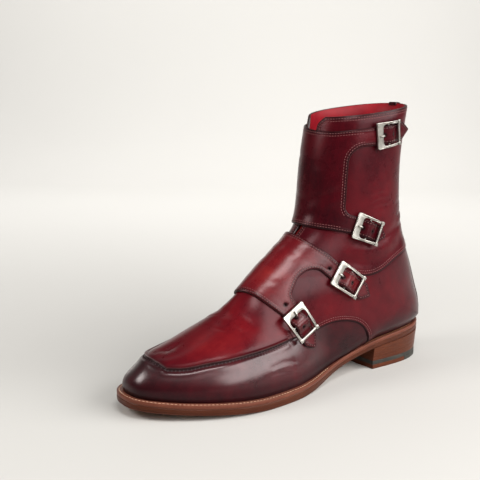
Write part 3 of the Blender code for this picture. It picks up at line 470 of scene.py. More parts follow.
def both_edges(stand, shares):
    """The outside and the inside edge of the sole, which meet at the back and at the toe."""
    out_edge = edge_line(1, shares, stand)
    in_edge = edge_line(-1, shares, stand)
    for end, share in ((0, 0.0), (-1, 1.0)):
        if shares[end] == share:
            out_edge[end] = in_edge[end] = (out_edge[end] + in_edge[end]) / 2
    return out_edge, in_edge


def inset(by):
    """A reach for edge_line: the edge of the sole, set back."""
    return lambda x: stand_out(x) - by


def sole_shares(count, end=1.0):
    """Shares from the heel, closer together at both ends."""
    turn = np.linspace(0, math.pi if end == 1.0 else math.pi / 2, count)
    return (1 - np.cos(turn)) / 2 if end == 1.0 else (1 - np.cos(turn)) * end


def outsole_top(x):
    return feather_height(x) - GAP - WELT - GAP


# -------- lines and distances on the boot
STEP_ALONG = 0.0009     # between the points of a seam or an edge


def on_last(at):
    return last_point(at[:, 0], at[:, 1])


def on_pattern(at):
    return surface_at(at[:, 0], at[:, 1], np.zeros(len(at)))


def pattern_normals(at):
    return last_normal(*surface_numbers(*at.T))


def crossed(first, second, **options):
    """Every pair of two rows of numbers."""
    return np.stack(np.meshgrid(first, second, **options), axis=-1).reshape(-1, 2)


def slopes(place, at):
    """How the boot's surface runs for each of the two numbers of a flat map."""
    nudges = 1e-4 * np.eye(2)
    return np.stack([(place(at + nudge) - place(at - nudge)) / 2e-4 for nudge in nudges], axis=-1)


def unit(rows):
    return rows / np.maximum(norm(rows, axis=-1, keepdims=True), 1e-12)


def along_line(places, closed=False):
    """Unit directions along a line of points."""
    if closed:
        return unit(np.roll(places, -1, axis=0) - np.roll(places, 1, axis=0))
    return unit(np.gradient(places, axis=0))


def shifted(place, line, off, closed=False):
    """A line of a flat map moved sideways over the boot by off metres, + to its left seen from outside."""
    run = slopes(place, line)
    normal = unit(np.cross(run[..., 0], run[..., 1]))
    sideways = unit(np.cross(normal, along_line(place(line), closed)))
    step = np.einsum("nij,nj->ni", np.linalg.pinv(run, rcond=1e-3), sideways)
    return line + step * off


def natural(points, step):
    """Points every step along a smooth curve through the given ones."""
    points = np.asarray(points, float)
    knots = knots_of(points)
    fine = spline(knots, points, np.linspace(0, knots[-1], 30 * len(points)))
    length = lengths_along(fine)
    at = np.linspace(0, length[-1], max(2, math.ceil(length[-1] / step)) + 1)
    return np.stack([np.interp(at, length, fine[:, i]) for i in range(fine.shape[1])], axis=-1)


def nearest_on(line, points, closed=False, reach=0.02):
    """Distance of each point from the line, the stretch of it that is nearest and the way there. Points
    further than reach are given as infinitely far."""
    starts = line if closed else line[:-1]
    ends = np.roll(line, -1, axis=0) if closed else line[1:]
    near = np.all((points > line.min(axis=0) - reach) & (points < line.max(axis=0) + reach), axis=1)
    near = np.flatnonzero(near)
    some = points[near]
    best = np.full(len(points), np.inf)
    stretch = np.zeros(len(points), int)
    away = np.zeros(points.shape)
    for k, (a, b) in enumerate(zip(starts, ends)):
        span = b - a
        share = np.clip((some - a) @ span / max(span @ span, 1e-16), 0, 1)
        gap = some - a - share[:, None] * span
        far = np.einsum("ij,ij->i", gap, gap)
        closer = far < best[near]
        rows = near[closer]
        best[rows], stretch[rows], away[rows] = far[closer], k, gap[closer]
    return np.sqrt(best), stretch, away


def smooth(value, low, high):
    share = np.clip((value - low) / (high - low), 0, 1)
    return share * share * (3 - 2 * share)


def bump(value, middle, width):
    """A soft ridge, 1 at its middle."""
    return np.exp(-((value - middle) / width) ** 2)


GUIDE_AT = crossed(np.linspace(0, 1, 161), np.linspace(-1, 1, 161), indexing="ij")
GUIDE = KDTree(len(GUIDE_AT))
for number, place in enumerate(on_last(GUIDE_AT)):
    GUIDE.insert(place, number)
GUIDE.balance()


def find_on_last(points):
    """(v, u) of the places of the upper's outer face nearest to the points."""
    at = GUIDE_AT[[GUIDE.find(point)[1] for point in points]]
    for _ in range(8):
        run = slopes(on_last, at)
        step = np.einsum("nij,nj->ni", np.linalg.pinv(run, rcond=1e-3), points - on_last(at))
        at = at + np.clip(step, -0.02, 0.02)
        at = np.clip(at, [0.0005, -0.999], [0.9995, 0.999])
    return at


# -------- seams and creases of the upper, in millimetres
# Each seam runs so that the panel on top lies to its left.
APRON_OUTSIDE = [
    (127, 15, 37), (115, 23, 37), (101, 29, 39), (86, 35, 41), (68, 38, 43), (47, 37, 44), (22, 33, 46),
]
APRON_INSIDE = [
    (22, -30, 46), (47, -36, 44), (68, -36.5, 43), (86, -35.5, 41), (100, -32, 40), (112, -27.5, 40),
    (122, -22, 39.5),
]
APRON_FRONT = [(122, -22, 39.5), (128.5, -15, 40.5), (131.5, -7, 41), (130.5, 4, 40), (127, 15, 37)]
WING = [
    (22, 33, 46), (6, 33, 48), (-10, 33, 51), (-22, 35, 54), (-40, 36, 53), (-55, 36, 47), (-65, 34, 36),
    (-72, 29, 24),
]
COUNTER = [(-42, 37, 93), (-58, 37, 90), (-74, 38, 92), (-93, 36, 100), (-112, 28, 105), (-128, 15, 108)]


def middle_y(x):
    """Middle of the feather line, between outside and inside, at places along the boot."""
    share = np.linspace(0, 1, 400)
    outside, inside = feather_point(1, share), feather_point(-1, share)
    return (np.interp(x, outside[:, 0], outside[:, 1]) + np.interp(x, inside[:, 0], inside[:, 1])) / 2


def other_side(rows):
    """The same seam on the inside of the boot, run the other way."""
    rows = np.array(rows, float)[::-1] * MM
    rows[:, 1] = 2 * middle_y(rows[:, 0]) - rows[:, 1]
    return rows / MM


class Seam:
    """A line over the upper, with the distance and the side of any point from it."""

    def __init__(self, pieces, rows=()):
        parts = [natural(np.array(piece, float) * MM, STEP_ALONG) for piece in pieces]
        line = np.concatenate([parts[0], *(part[1:] for part in parts[1:])])
        self.rows = rows        # of stitches on a lap; the apron has none
        self.at = find_on_last(line)
        self.places = on_last(self.at)
        self.length = lengths_along(self.places)
        normal = last_normal(*self.at.T)
        self.left = unit(np.cross(normal, along_line(self.places)))

    def side(self, points):
        """Signed distance, + to the left, and the place along the seam."""
        distance, stretch, away = nearest_on(self.places, points)
        ends = [norm(points - self.places[stretch + k], axis=1) for k in (0, 1)]
        near = stretch + (ends[1] < ends[0])
        sign = np.where(np.einsum("ij,ij->i", away, self.left[near]) >= 0, 1.0, -1.0)
        return distance * sign, self.length[near]

    def row(self, off):
        return shifted(on_last, self.at, off)


# Rows of points along a seam or an edge, off to its left.
APRON_OFFSETS = (-5, -3.8, -2.8, -2, -1.5, -1.1, -0.8, -0.5, -0.2, 0.1, 0.35, 0.6, 0.9, 1.3, 1.9, 2.8, 4)
LAP_OFFSETS = (-4, -2.6, -1.6, -1, -0.6, -0.3, -0.08, 0.12, 0.35, 0.8, 1.3, 1.7, 2.1, 3, 3.5, 3.9, 4.3, 5.4)
EDGE_OFFSETS = (0.25, 0.6, 1.0, 1.5, 1.9, 2.3, 3.2, 3.7, 4.1, 4.5, 5.6)
ROWS = (0.0017, 0.0037)         # of double stitching, from the edge


def apron_relief(off, length):
    """A hand-sewn apron: its turned-up edge is a ridge, and each stitch draws the wall in under it."""
    ridge = 0.00135 * bump(off, 0.0005, 0.0006)
    groove = -0.00085 * bump(off, -0.0007, 0.00045)
    swell = 0.0004 * bump(off, -0.0042, 0.0018)
    behind = -0.0003 * bump(off, 0.0026, 0.001)
    drawn = -0.00035 * stitch_pull(length) * bump(off, -0.0018, 0.0009)
    return ridge + groove + swell + behind + drawn


def stitch_pull(length):
    return 0.5 + 0.5 * np.cos(2 * np.pi * length / HAND_STITCH)


def apron_shade_and_sheen(off, length):
    """+ a pale line on the ridge, partly rubbed and partly a painted highlight; - painted shade in the
    groove, in each stitch's dimple and in the dip behind the ridge.
    """
    teeth = 0.8 * stitch_pull(length) * bump(off, -0.0017, 0.0007)
    line = 0.9 * bump(off, 0.0005, 0.0004) - 1.1 * bump(off, -0.0007, 0.00055)
    return line - teeth - 0.35 * bump(off, 0.002, 0.0008)


def lap_shade_and_sheen(off):
    # Painted shadow just under the lapped edge and wider below it, a painted highlight along the edge's top,
    # and painted shade along the stitch rows.
    line = -0.95 * bump(off, -0.0003, 0.00045) + 0.3 * bump(off, 0.0006, 0.0003)
    return line + stitch_row_shade(off) - 0.25 * bump(off, -0.0014, 0.0012)


def stitch_row_shade(off):
    # Painted shade along each stitch row.
    return sum(-0.3 * bump(off, row, 0.0005) for row in ROWS)


def lap_relief(off):
    """A cut edge lapped over the next panel, with its stitch rows pulled in."""
    top = 0.00075 * smooth(off, -0.0001, 0.00014) * (1 - smooth(off, 0.004, 0.016))
    under = -0.0002 * bump(off, -0.0005, 0.0005)
    return top + under + furrows(off)


def furrows(off):
    return sum(-0.00013 * bump(off, row, 0.00035) for row in ROWS)


HAND_STITCH = 0.003            # spacing of the apron's hand stitches
# Soft hollows (-) and swells (+) of the lasted leather: x, y, z, reach and height.
SWELLS = [
    (140, -20, 34, 11, -2.4), (143, -6, 33, 11, -1.3), (142, 10, 31, 10, -0.8), (128, -28, 31, 10, -1.2),
    (120, -16, 42, 9, 0.5),
]


def soft_spots(points, table):
    """Sum of soft round spots at each point."""
    total = np.zeros(len(points))
    for x, y, z, reach, amount in table:
        far = norm(points / MM - (x, y, z), axis=1)
        total += amount * np.exp(-(far / reach) ** 2)
    return total


def above_feather(points):
    return points[:, 2] - feather_height(points[:, 0])


def tucked(points):
    """The heel's leather swells over the counter and is drawn in to the seat below it."""
    above = above_feather(points)
    at_heel = 1 - smooth(points[:, 0], -0.085, -0.045)
    return at_heel * (0.0009 * bump(above, 0.021, 0.01) - 0.0017 * (1 - smooth(above, 0.0, 0.011)))


# Soft troughs (+) and ridges (-) that walking has left: depth, width and points.
CREASES = [
    (0.9, 5.5, [(-40, 38, 104), (-62, 40, 99), (-84, 38, 103), (-100, 33, 110)]),
    (-0.7, 4.5, [(-48, 38, 112), (-66, 40, 109), (-84, 38, 113)]),
    (0.6, 4.0, [(-60, 40, 118), (-80, 38, 121), (-98, 34, 128)]),
    (0.35, 1.6, [(-100, 33, 126), (-114, 26, 131), (-126, 15, 133)]),
    (0.35, 1.4, [(-104, 32, 138), (-116, 24, 141), (-127, 12, 142)]),
    (0.3, 1.3, [(-98, 34, 148), (-110, 28, 150), (-122, 18, 153)]),
    (-0.35, 2.2, [(-101, 33, 132), (-114, 26, 136), (-126, 14, 138)]),
    (0.22, 1.0, [(-66, 38, 151), (-74, 39, 153), (-84, 38, 152)]),
    (0.2, 0.9, [(-64, 38, 156), (-73, 39, 158), (-83, 38, 157)]),
    (0.2, 0.9, [(-68, 38, 146), (-78, 39, 147), (-88, 37, 148)]),
    (0.18, 0.8, [(-66, 38, 162), (-75, 39, 164), (-84, 38, 163)]),
    (0.9, 5.5, [(-40, -36, 104), (-62, -38, 99), (-84, -36, 103), (-100, -32, 110)]),
    (-0.6, 4.0, [(-50, -36, 113), (-68, -38, 110), (-88, -36, 115)]),
    (0.5, 2.2, [(-78, -37, 122), (-96, -33, 128), (-114, -25, 132)]),
    (0.35, 1.6, [(-92, -34, 136), (-106, -29, 139), (-120, -18, 141)]),
    (0.25, 1.2, [(-84, -36, 147), (-100, -32, 149), (-114, -25, 152)]),
    (0.45, 3.5, [(52, 22, 60), (58, 8, 66), (60, -6, 66), (54, -22, 60)]),
    (-0.3, 3.0, [(60, 20, 57), (66, 6, 62), (68, -6, 62), (62, -20, 57)]),
    (0.22, 1.3, [(72, 14, 55), (77, 6, 57), (78, -3, 58)]),
    (0.2, 1.2, [(66, -4, 63), (69, -12, 61), (68, -19, 58)]),
    (0.3, 2.0, [(20, 41, 30), (34, 45, 33), (48, 45, 31)]),
    (0.25, 1.6, [(30, 43, 24), (42, 46, 26), (56, 46, 24)]),
]


# -------- colour of the dyed leather
# Soft spots: x, y, z and reach in millimetres, then + brighter red or - darker plum. Most are clouds of the
# dye; a few are painted sheen and painted crease shade.
# The spot at (56, 20, 58) brightens the apron where a soft sheen lies: partly dye, partly painted sheen.
VAMP_GLOW_AND_SHEEN = [
    (92, 16, 50, 20, 0.12), (74, 4, 60, 16, -0.04), (56, 4, 66, 18, 0.1), (56, 20, 58, 13, 0.16),
    (116, -4, 45, 14, -0.1), (40, 20, 68, 14, -0.22), (44, -22, 68, 16, -0.2), (70, 26, 52, 12, 0.1),
    (30, 0, 80, 14, 0.05),
]
WALL_GLOW = [
    (40, 44, 28, 22, 0.1), (90, 44, 26, 24, 0.07), (140, 0, 28, 22, -0.12), (66, 48, 14, 26, 0.05),
    (-20, 36, 30, 22, -0.02), (110, 36, 20, 20, 0.04),
]
# Near (-20, 35, 66) the quarter is brightened where a soft sheen lies: partly dye, partly painted sheen.
QUARTER_GLOW_AND_SHEEN = [
    (-30, 38, 75, 24, 0.2), (8, 36, 62, 14, 0.22), (-70, 40, 60, 34, 0.16), (-110, 34, 62, 26, 0.05),
    (-60, 38, 96, 18, 0.14), (-30, -36, 80, 30, 0.16), (-80, -38, 60, 34, 0.14), (-140, 0, 50, 20, -0.14),
    (-90, 34, 34, 18, -0.1), (-14, 36, 64, 17, 0.13), (-29, 36, 82, 8, -0.12),
]
SHAFT_GLOW = [
    (-74, 38, 150, 30, 0.12), (-100, 34, 170, 30, 0.04), (-60, 38, 205, 30, -0.06),
    (-120, 20, 150, 26, -0.08), (-70, -38, 150, 34, 0.14), (-50, 30, 112, 16, 0.1), (-130, 0, 200, 30, -0.1),
]
# Besides the dye's clouds: (-40, 34, 94) brightens the strap behind the third buckle where a sheen lies,
# painted sheen; (4, 22, 100) darkens a crease valley between two sheens, painted shade.
INSTEP_GLOW_SHEEN_AND_SHADE = [
    (-8, 2, 108, 20, 0.22), (12, 4, 92, 22, 0.22), (-2, 14, 96, 16, 0.16), (-28, 24, 100, 14, -0.18),
    (-40, 34, 94, 12, 0.28), (24, 16, 82, 10, -0.04), (6, 30, 74, 12, 0.24), (-20, -30, 90, 26, -0.14),
    (4, 22, 100, 9, -0.28), (36, 6, 88, 14, 0.18), (26, 6, 99, 12, 0.08),
]
ANKLE_GLOW = [
    (-34, 22, 190, 22, -0.1), (-36, 30, 160, 22, 0.1), (-30, 10, 150, 18, -0.02), (-26, 0, 175, 24, -0.06),
    (-36, 20, 146, 22, -0.22), (-60, 38, 208, 16, 0.16), (-34, 26, 134, 12, -0.08),
]


def glow_of(points, base, table):
    """How bright the leather is coloured, from 0, dark plum, to 1, bright red: clouds of the dye, with a few
    spots of painted sheen and of painted crease shade.
    """
    return base + soft_spots(points, table)


# -------- meshes
def plain_mesh(name, points, faces, materials, indices=None):
    mesh = bpy.data.meshes.new(name)
    mesh.from_pydata([tuple(point) for point in np.asarray(points).tolist()], [], faces)
    for material in materials:
        mesh.materials.append(material)
    if indices is not None:
        mesh.polygons.foreach_set("material_index", np.asarray(indices, np.int32))
    mesh.update()
    return mesh


def placed(name, data):
    """A new object of the scene."""
    made = bpy.data.objects.new(name, data)
    bpy.context.scene.collection.objects.link(made)
    return made


def piece(name, mesh, slot, replaced=(), sharp_angle=50, edge_by_angle=True):
    """A finished piece: its object at the origin, riding on the boot."""
    mesh.shade_smooth()
    if edge_by_angle:
        mesh.set_sharp_from_angle(angle=math.radians(sharp_angle))
    made = placed(name, mesh)
    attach(made, "root")
    if replaced:
        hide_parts(*replaced)
    return made


def quads(rows, columns, closed=False):
    """Faces between rows of points, each row closed to a ring where asked."""
    faces = []
    for i in range(rows - 1):
        for j in range(columns if closed else columns - 1):
            a, b = i * columns + j, i * columns + (j + 1) % columns
            faces.append((a, b, b + columns, a + columns))
    return faces


def triangulated(flat, loops):
    """Triangles over flat points, with each loop of points joined by edges."""
    points = np.concatenate([*loops, flat])
    edges = []
    start = 0
    for loop in loops:
        edges += [(start + i, start + (i + 1) % len(loop)) for i in range(len(loop))]
        start += len(loop)
    cut = delaunay_2d_cdt([Vector(point) for point in points.tolist()], edges, [], 0, 1e-5)
    places = np.array([tuple(point) for point in cut[0]])
    return places, np.array([tuple(face) for face in cut[2]])


def vertex_normals(points, triangles):
    corners = points[triangles]
    face = np.cross(corners[:, 1] - corners[:, 0], corners[:, 2] - corners[:, 0])
    normals = np.zeros_like(points)
    for k in range(3):
        np.add.at(normals, triangles[:, k], face)
    return unit(normals)


def rim_edges(triangles):
    """Edges with one triangle only, each run with its triangle to the left."""
    ends = np.concatenate([triangles[:, [0, 1]], triangles[:, [1, 2]], triangles[:, [2, 0]]])
    size = triangles.max() + 1
    code, back = ends[:, 0] * size + ends[:, 1], ends[:, 1] * size + ends[:, 0]
    return ends[~np.isin(code, back)]


def used_only(triangles):
    """The points that triangles use, and the triangles numbered by them."""
    used, index = np.unique(triangles, return_inverse=True)
    return used, index.reshape(triangles.shape)


def sheet_piece(name, skins, triangles, rounding, materials, slot, replaced, sharp=False, **values):
    """A closed sheet between an outer and an inner skin of the same triangles, its rim rounded by a length,
    or by one for each point. Its materials are for outside, inside and rim. Its finishes read the values,
    given for one skin."""
    outer, inner = skins
    edges = rim_edges(triangles)
    ring = np.unique(edges)
    normals = vertex_normals(outer, triangles)
    outward = np.zeros_like(outer)
    between = (normals[edges[:, 0]] + normals[edges[:, 1]]) / 2
    away = np.cross(outer[edges[:, 1]] - outer[edges[:, 0]], between)
    for k in range(2):
        np.add.at(outward, edges[:, k], away)
    outward = unit(outward)[ring] * np.broadcast_to(rounding, len(outer))[ring][:, None]
    upper_ring = outer[ring] * 0.78 + inner[ring] * 0.22 + outward
    lower_ring = outer[ring] * 0.22 + inner[ring] * 0.78 + outward
    count = len(outer)
    place = np.zeros(count, int)
    place[ring] = np.arange(len(ring))
    rows = np.array([edges, 2 * count + place[edges], 2 * count + len(ring) + place[edges], count + edges])
    rim = np.stack([rows[:-1, :, 1], rows[:-1, :, 0], rows[1:, :, 0], rows[1:, :, 1]], axis=-1)
    faces = triangles.tolist() + (triangles[:, ::-1] + count).tolist() + rim.reshape(-1, 4).tolist()
    kinds = np.repeat([0, 1, 2], [len(triangles), len(triangles), rim[..., 0].size])
    mesh = plain_mesh(name, np.concatenate([outer, inner, upper_ring, lower_ring]), faces, materials, kinds)
    for attribute, given in values.items():
        given = np.broadcast_to(given, count).astype(np.float32)
        made = mesh.attributes.new(attribute, "FLOAT", "POINT")
        made.data.foreach_set("value", np.concatenate([given, given, given[ring], given[ring]]))
    piece(name, mesh, slot, replaced, edge_by_angle=sharp)


# -------- upper
SHAFT_ROWS = 84
FOOT_ROWS = 124
HALF_COLUMNS = 60
KEEP_CLEAR = 0.0052     # of the even grid from a seam's own rows


def to_grid(at):
    v, u = at.T
    row = np.where(v < V_SEAT, v / V_SEAT * SHAFT_ROWS, SHAFT_ROWS + (v - V_SEAT) / (1 - V_SEAT) * FOOT_ROWS)
    return np.column_stack([row, u * HALF_COLUMNS])


def from_grid(places):
    row, column_at = places.T
    in_foot = V_SEAT + (row - SHAFT_ROWS) / FOOT_ROWS * (1 - V_SEAT)
    v = np.where(row < SHAFT_ROWS, row / SHAFT_ROWS * V_SEAT, in_foot)
    return np.column_stack([v, column_at / HALF_COLUMNS])


def crease_lines(rows, place):
    """Depth, width and places of creases given in millimetres."""
    return [
        (depth * MM, width * MM, place(natural(np.array(points, float) * MM, 0.004)))
        for depth, width, points in rows
    ]


def creased(creases, places):
    """How deep the creases are at each place."""
    deep = np.zeros(len(places))
    for depth, width, line in creases:
        deep += depth * np.exp(-(nearest_on(line, places, reach=3 * width)[0] / width) ** 2)
    return deep


# The front slit's edge, its corners turned softly into the collar.
SLIT_EDGE = [
    (-36, -2.4, 1), (20, -2.4, 1), (7.5, 0.3, 6), (1.4, 5.5, 5), *FRONT_SLIT[4:10],
    (-16, 8, 12), (-20, 0.6, 6),
]


class Upper:
    """The boot's outer face with its seams, edges and creases."""

    def __init__(self):
        laps = WING, other_side(WING), COUNTER, other_side(COUNTER)
        self.seams = [Seam([APRON_INSIDE, APRON_FRONT, APRON_OUTSIDE]), *(Seam([lap], ROWS) for lap in laps)]
        slit = even(rounded(SLIT_EDGE, step=1.0), 0.9) * MM
        self.slit = np.column_stack(surface_numbers(*slit.T))
        self.slit_grid = to_grid(self.slit)
        self.slit_places = on_last(np.clip(self.slit, [0, -1], [1, 1]))
        self.collar = crossed(0.0, np.linspace(-1, 1, 360))
        self.collar_places = on_last(self.collar)
        self.creases = crease_lines(CREASES, lambda line: on_last(find_on_last(line)))

    def clear(self, at, least):
        """Which places are on the upper and at least so far from its slit."""
        far = nearest_on(self.slit_places, on_last(np.clip(at, [0, -1], [1, 1])), closed=True)[0]
        return ~inside_of(self.slit_grid, to_grid(at)) & (far > least) & (at[:, 0] > 0)

    def edge_distance(self, points):
        collar = nearest_on(self.collar_places, points)[0]
        slit = nearest_on(self.slit_places, points, closed=True)[0]
        return np.minimum(collar, slit)

    def seam_sides(self, points):
        return [seam.side(points) for seam in self.seams]

    def relief(self, points, sides, edge):
        """How far the face stands out of the last."""
        height = MM * soft_spots(points, SWELLS) + tucked(points)
        for seam, (off, length) in zip(self.seams, sides):
            fade = smooth(length, 0, 0.004) * smooth(seam.length[-1] - length, 0, 0.004)
            height += fade * (lap_relief(off) if seam.rows else apron_relief(off, length))
        height += furrows(edge) - 0.00035 * (1 - smooth(edge, 0, 0.0009))
        return height - creased(self.creases, points)

    def face(self, at):
        """Place and outward direction of the finished outer face."""
        points, normals = on_last(at), last_normal(*at.T)
        height = self.relief(points, self.seam_sides(points), self.edge_distance(points))
        return points + normals * height[:, None], normals


def by_side(inside, off):
    """Which places are inside a panel, by the side of its seam for those that are near it."""
    return np.where(np.abs(off) < 0.012, off > 0, inside)


def on_apron(points, sides):
    x, z = points[:, 0] / MM, points[:, 2] / MM
    outline = np.array(APRON_INSIDE + APRON_FRONT + APRON_OUTSIDE, float)[:, :2]
    apron = inside_of(outline, points[:, :2] / MM) & (z > 30)
    return by_side(apron, sides[0][0]) & (z > 30) & (x > 15)


def upper_glow(points, sides):
    """Brightness of the colour, mostly dye with a few spots of painted sheen and shade, and how much wax
    polish it has, over the panels of the upper.
    """
    x, z = points[:, 0] / MM, points[:, 2] / MM
    apron_off = sides[0][0]
    apron = on_apron(points, sides)
    wing, counter = np.array(WING, float), np.array(COUNTER, float)
    in_wing = (z < np.interp(-x, -wing[:, 0], wing[:, 2], left=0, right=-1)) & (x < 23) & (x > -72)
    for off, _ in sides[1:3]:
        in_wing = ~by_side(~in_wing, off)
    low = (x > 23) & ~apron | in_wing
    in_shaft = z >= np.interp(-x, -counter[:, 0], counter[:, 2])
    for off, _ in sides[3:5]:
        in_shaft = by_side(in_shaft, off)
    quarter = ~apron & ~low & ~in_shaft
    glow = np.where(quarter, glow_of(points, 0.3, QUARTER_GLOW_AND_SHEEN), glow_of(points, 0.38, SHAFT_GLOW))
    glow = np.where(low, glow_of(points, 0.25, WALL_GLOW), glow)
    inward = np.where(np.isfinite(apron_off), np.abs(apron_off), 0.02)
    glow = np.where(apron, glow_of(points, 0.61, VAMP_GLOW_AND_SHEEN) - 0.3 * np.exp(-inward / 0.006), glow)
    above = above_feather(points) / MM
    glow -= np.where(apron, 0, 0.26 * np.exp(-above / 9))
    waxed = (0.22 + 0.78 * smooth(above, 7, 17)) * (0.25 + 0.75 * smooth(x, -26, -4))
    polish = np.where(apron, 0.2, np.where(low, waxed, np.where(quarter, 0.15, 0.06)))
    return glow, polish


def upper_shade_and_sheen(sides, edge):
    """+ where the leather is painted pale: the rubbed apron ridge and painted highlights on edges; - painted
    shade in grooves, under laps and along stitch rows.
    """
    wear = np.zeros(len(edge))
    for number, (off, length) in enumerate(sides):
        wear += lap_shade_and_sheen(off) if number else apron_shade_and_sheen(off, length)
    return wear + stitch_row_shade(edge)


def make_upper(leather, lining, paint):
    upper = Upper()
    rows, columns = SHAFT_ROWS + FOOT_ROWS, HALF_COLUMNS
    grid = crossed(np.arange(rows + 1.0), np.arange(-columns, columns + 1), indexing="ij")
    on_border = (grid[:, 0] % rows == 0) | (np.abs(grid[:, 1]) == columns)
    at = from_grid(grid)
    points = on_last(at)
    keep = np.ones(len(grid), bool)
    extra = []
    for seam in upper.seams:
        offsets = LAP_OFFSETS if seam.rows else APRON_OFFSETS
        distance = np.abs(seam.side(points)[0])
        keep &= (distance > KEEP_CLEAR) | on_border
        extra += [to_grid(seam.row(off * MM)) for off in offsets]
    edge = upper.edge_distance(points)
    keep &= (edge > max(EDGE_OFFSETS) * MM + 0.0008) | on_border
    for off in EDGE_OFFSETS:
        extra.append(to_grid(shifted(on_last, upper.collar, off * MM)))
        for way in (1, -1):
            extra.append(to_grid(shifted(on_last, upper.slit, way * off * MM, closed=True)))
    extra = np.concatenate(extra)
    extra = extra[(extra[:, 0] > 0.15) & (extra[:, 0] < rows - 0.3) & (np.abs(extra[:, 1]) < columns - 0.25)]
    extra = thinned(extra, on_last(from_grid(extra)))
    border = [(i, -columns) for i in range(rows)] + [(rows, j) for j in range(-columns, columns)]
    border += [(i, columns) for i in range(rows, 0, -1)] + [(0, j) for j in range(columns, -columns, -1)]
    flat = np.concatenate([grid[keep & ~on_border], extra])
    places, triangles = triangulated(flat, [np.array(border, float), upper.slit_grid])
    middle = places[triangles].mean(axis=1)
    triangles = triangles[(middle[:, 0] > 0) & ~inside_of(upper.slit_grid, middle)]
    # The back seam and the seam under the toe's tip each lie at two places of the map.
    at = np.clip(from_grid(places), [0, -1], [1, 1])
    back = (at[:, 1] < -1 + 1e-6) & (at[:, 0] <= V_SEAT + 1e-6)
    tip = at[:, 0] > 1 - 1e-6
    points = on_last(at)
    points[tip] = (points[tip] + on_last(at[tip] * [1, -1])) / 2
    same = np.where(back, 1.0, np.where(tip, np.abs(at[:, 1]), at[:, 1]))
    key = np.round(np.column_stack([at[:, 0], same]), 6)
    _, first, index = np.unique(key, axis=0, return_index=True, return_inverse=True)
    triangles = index.reshape(-1)[triangles]
    points, at = points[first], at[first]
    triangles = triangles[np.all(triangles != np.roll(triangles, 1, axis=1), axis=1)]
    used, triangles = used_only(triangles)
    points, at = points[used], at[used]
    normals = vertex_normals(points, triangles)
    sides = upper.seam_sides(points)
    edge = upper.edge_distance(points)
    height = upper.relief(points, sides, edge)
    height = np.where(under_flap(points, normals), np.minimum(height, 0.0003), height)
    outer = points + normals * height[:, None]
    drawn_in = np.minimum(MM * soft_spots(points, SWELLS) + tucked(points), 0)
    inner = points - normals * (WALL - drawn_in)[:, None]
    for skin in (outer, inner):
        skin[:, 2] = np.maximum(skin[:, 2], feather_height(skin[:, 0]))
    rim = np.minimum(edge, 0.02)
    for off, _ in sides:
        rim = np.minimum(rim, 0.0012 + 1.5 * np.abs(off))
    glow, polish = upper_glow(points, sides)
    sheet_piece(
        "upper_leather", (outer, inner), triangles, np.where(above_feather(points) > 0.02, 0.0004, 0),
        (leather, lining, paint), "burgundy_leather", ("upper",), glow=glow, rim=rim,
        wear=upper_shade_and_sheen(sides, edge), polish=polish,
    )
    return upper


def thinned(flat, points, least=0.00042):
    """Leaves out each point closer than least to one before it."""
    cells = {}
    kept = []
    for i, point in enumerate(points.tolist()):
        home = tuple(int(math.floor(value / least)) for value in point)
        near = (
            cells.get((home[0] + a, home[1] + b, home[2] + c), ())
            for a in (-1, 0, 1) for b in (-1, 0, 1) for c in (-1, 0, 1)
        )
        if any(math.dist(point, points[j]) < least for found in near for j in found):
            continue
        cells.setdefault(home, []).append(i)
        kept.append(i)
    return flat[kept]


def under_flap(points, normals):
    """Which places of the upper lie right under a flap of the frame."""
    found = np.zeros(len(points), bool)
    for name in ("ankle_flap", "instep_flap", "backstay"):
        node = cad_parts[name].data
        low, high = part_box(name)
        near = np.all((points > np.array(low) - 0.004) & (points < np.array(high) + 0.004), axis=1)
        tree = BVHTree.FromPolygons([v.co for v in node.vertices], [p.vertices for p in node.polygons])
        for i in np.flatnonzero(near):
            if tree.ray_cast(Vector(points[i]), Vector(normals[i]), 0.0045)[0] is not None:
                found[i] = True
    return found


# -------- flaps and tongue, cut to patterns
CUT_OFFSETS = (0.35, 0.8, 1.2, 1.7, 2.1, 2.9, 3.4, 3.7, 4.1, 4.9)     # in from a cut edge, in millimetres
SPARE_HOLE = 0.00095        # radius
CUT_CLEAR, STRAP_CLEAR = 0.0054, 0.003      # of the even grid from a cut edge, and of a strap's own grid
TONGUE_LEATHER = 0.0012
TONGUE_DROP = 0.0014        # of its underside below the lining
PRONG_SLOT = (-6.7, 3.2, 2.4)   # s of its middle, its length and its width, in millimetres
FLAP_CREASES = {
    "ankle_flap": [
        (0.35, 3.0, [(0, 70), (14, 66), (28, 60)]), (-0.25, 2.5, [(2, 78), (16, 74), (28, 68)]),
        (0.25, 2.0, [(8, 40), (22, 44), (32, 50)]), (0.2, 1.6, [(-30, 60), (-14, 66), (0, 70)]),
        (0.3, 2.5, [(-40, 30), (-20, 34), (-4, 33)]),
    ],
    "instep_flap": [
        (0.35, 2.6, [(-14, 112), (2, 116), (16, 119)]), (-0.25, 2.4, [(-12, 119), (4, 123), (18, 126)]),
        (0.25, 2.0, [(-10, 150), (6, 154), (20, 152)]), (0.3, 3.0, [(-44, 130), (-26, 134), (-10, 132)]),
    ],
    "tongue": [],
}


def circle(strap, s, radius):
    turn = np.linspace(0, 2 * np.pi, 14, endpoint=False)
    return strap.pattern(s + radius * np.cos(turn), radius * np.sin(turn)) / MM


def slot_loop(strap):
    middle, long, wide = (MM * value for value in PRONG_SLOT)
    ends = []
    for side in (1, -1):
        turn = np.linspace(-np.pi / 2, np.pi / 2, 7)
        s = middle + side * (long / 2 - wide / 2 + wide / 2 * np.cos(turn))
        ends.append(strap.pattern(s, side * wide / 2 * np.sin(turn)) / MM)
    return np.concatenate(ends)


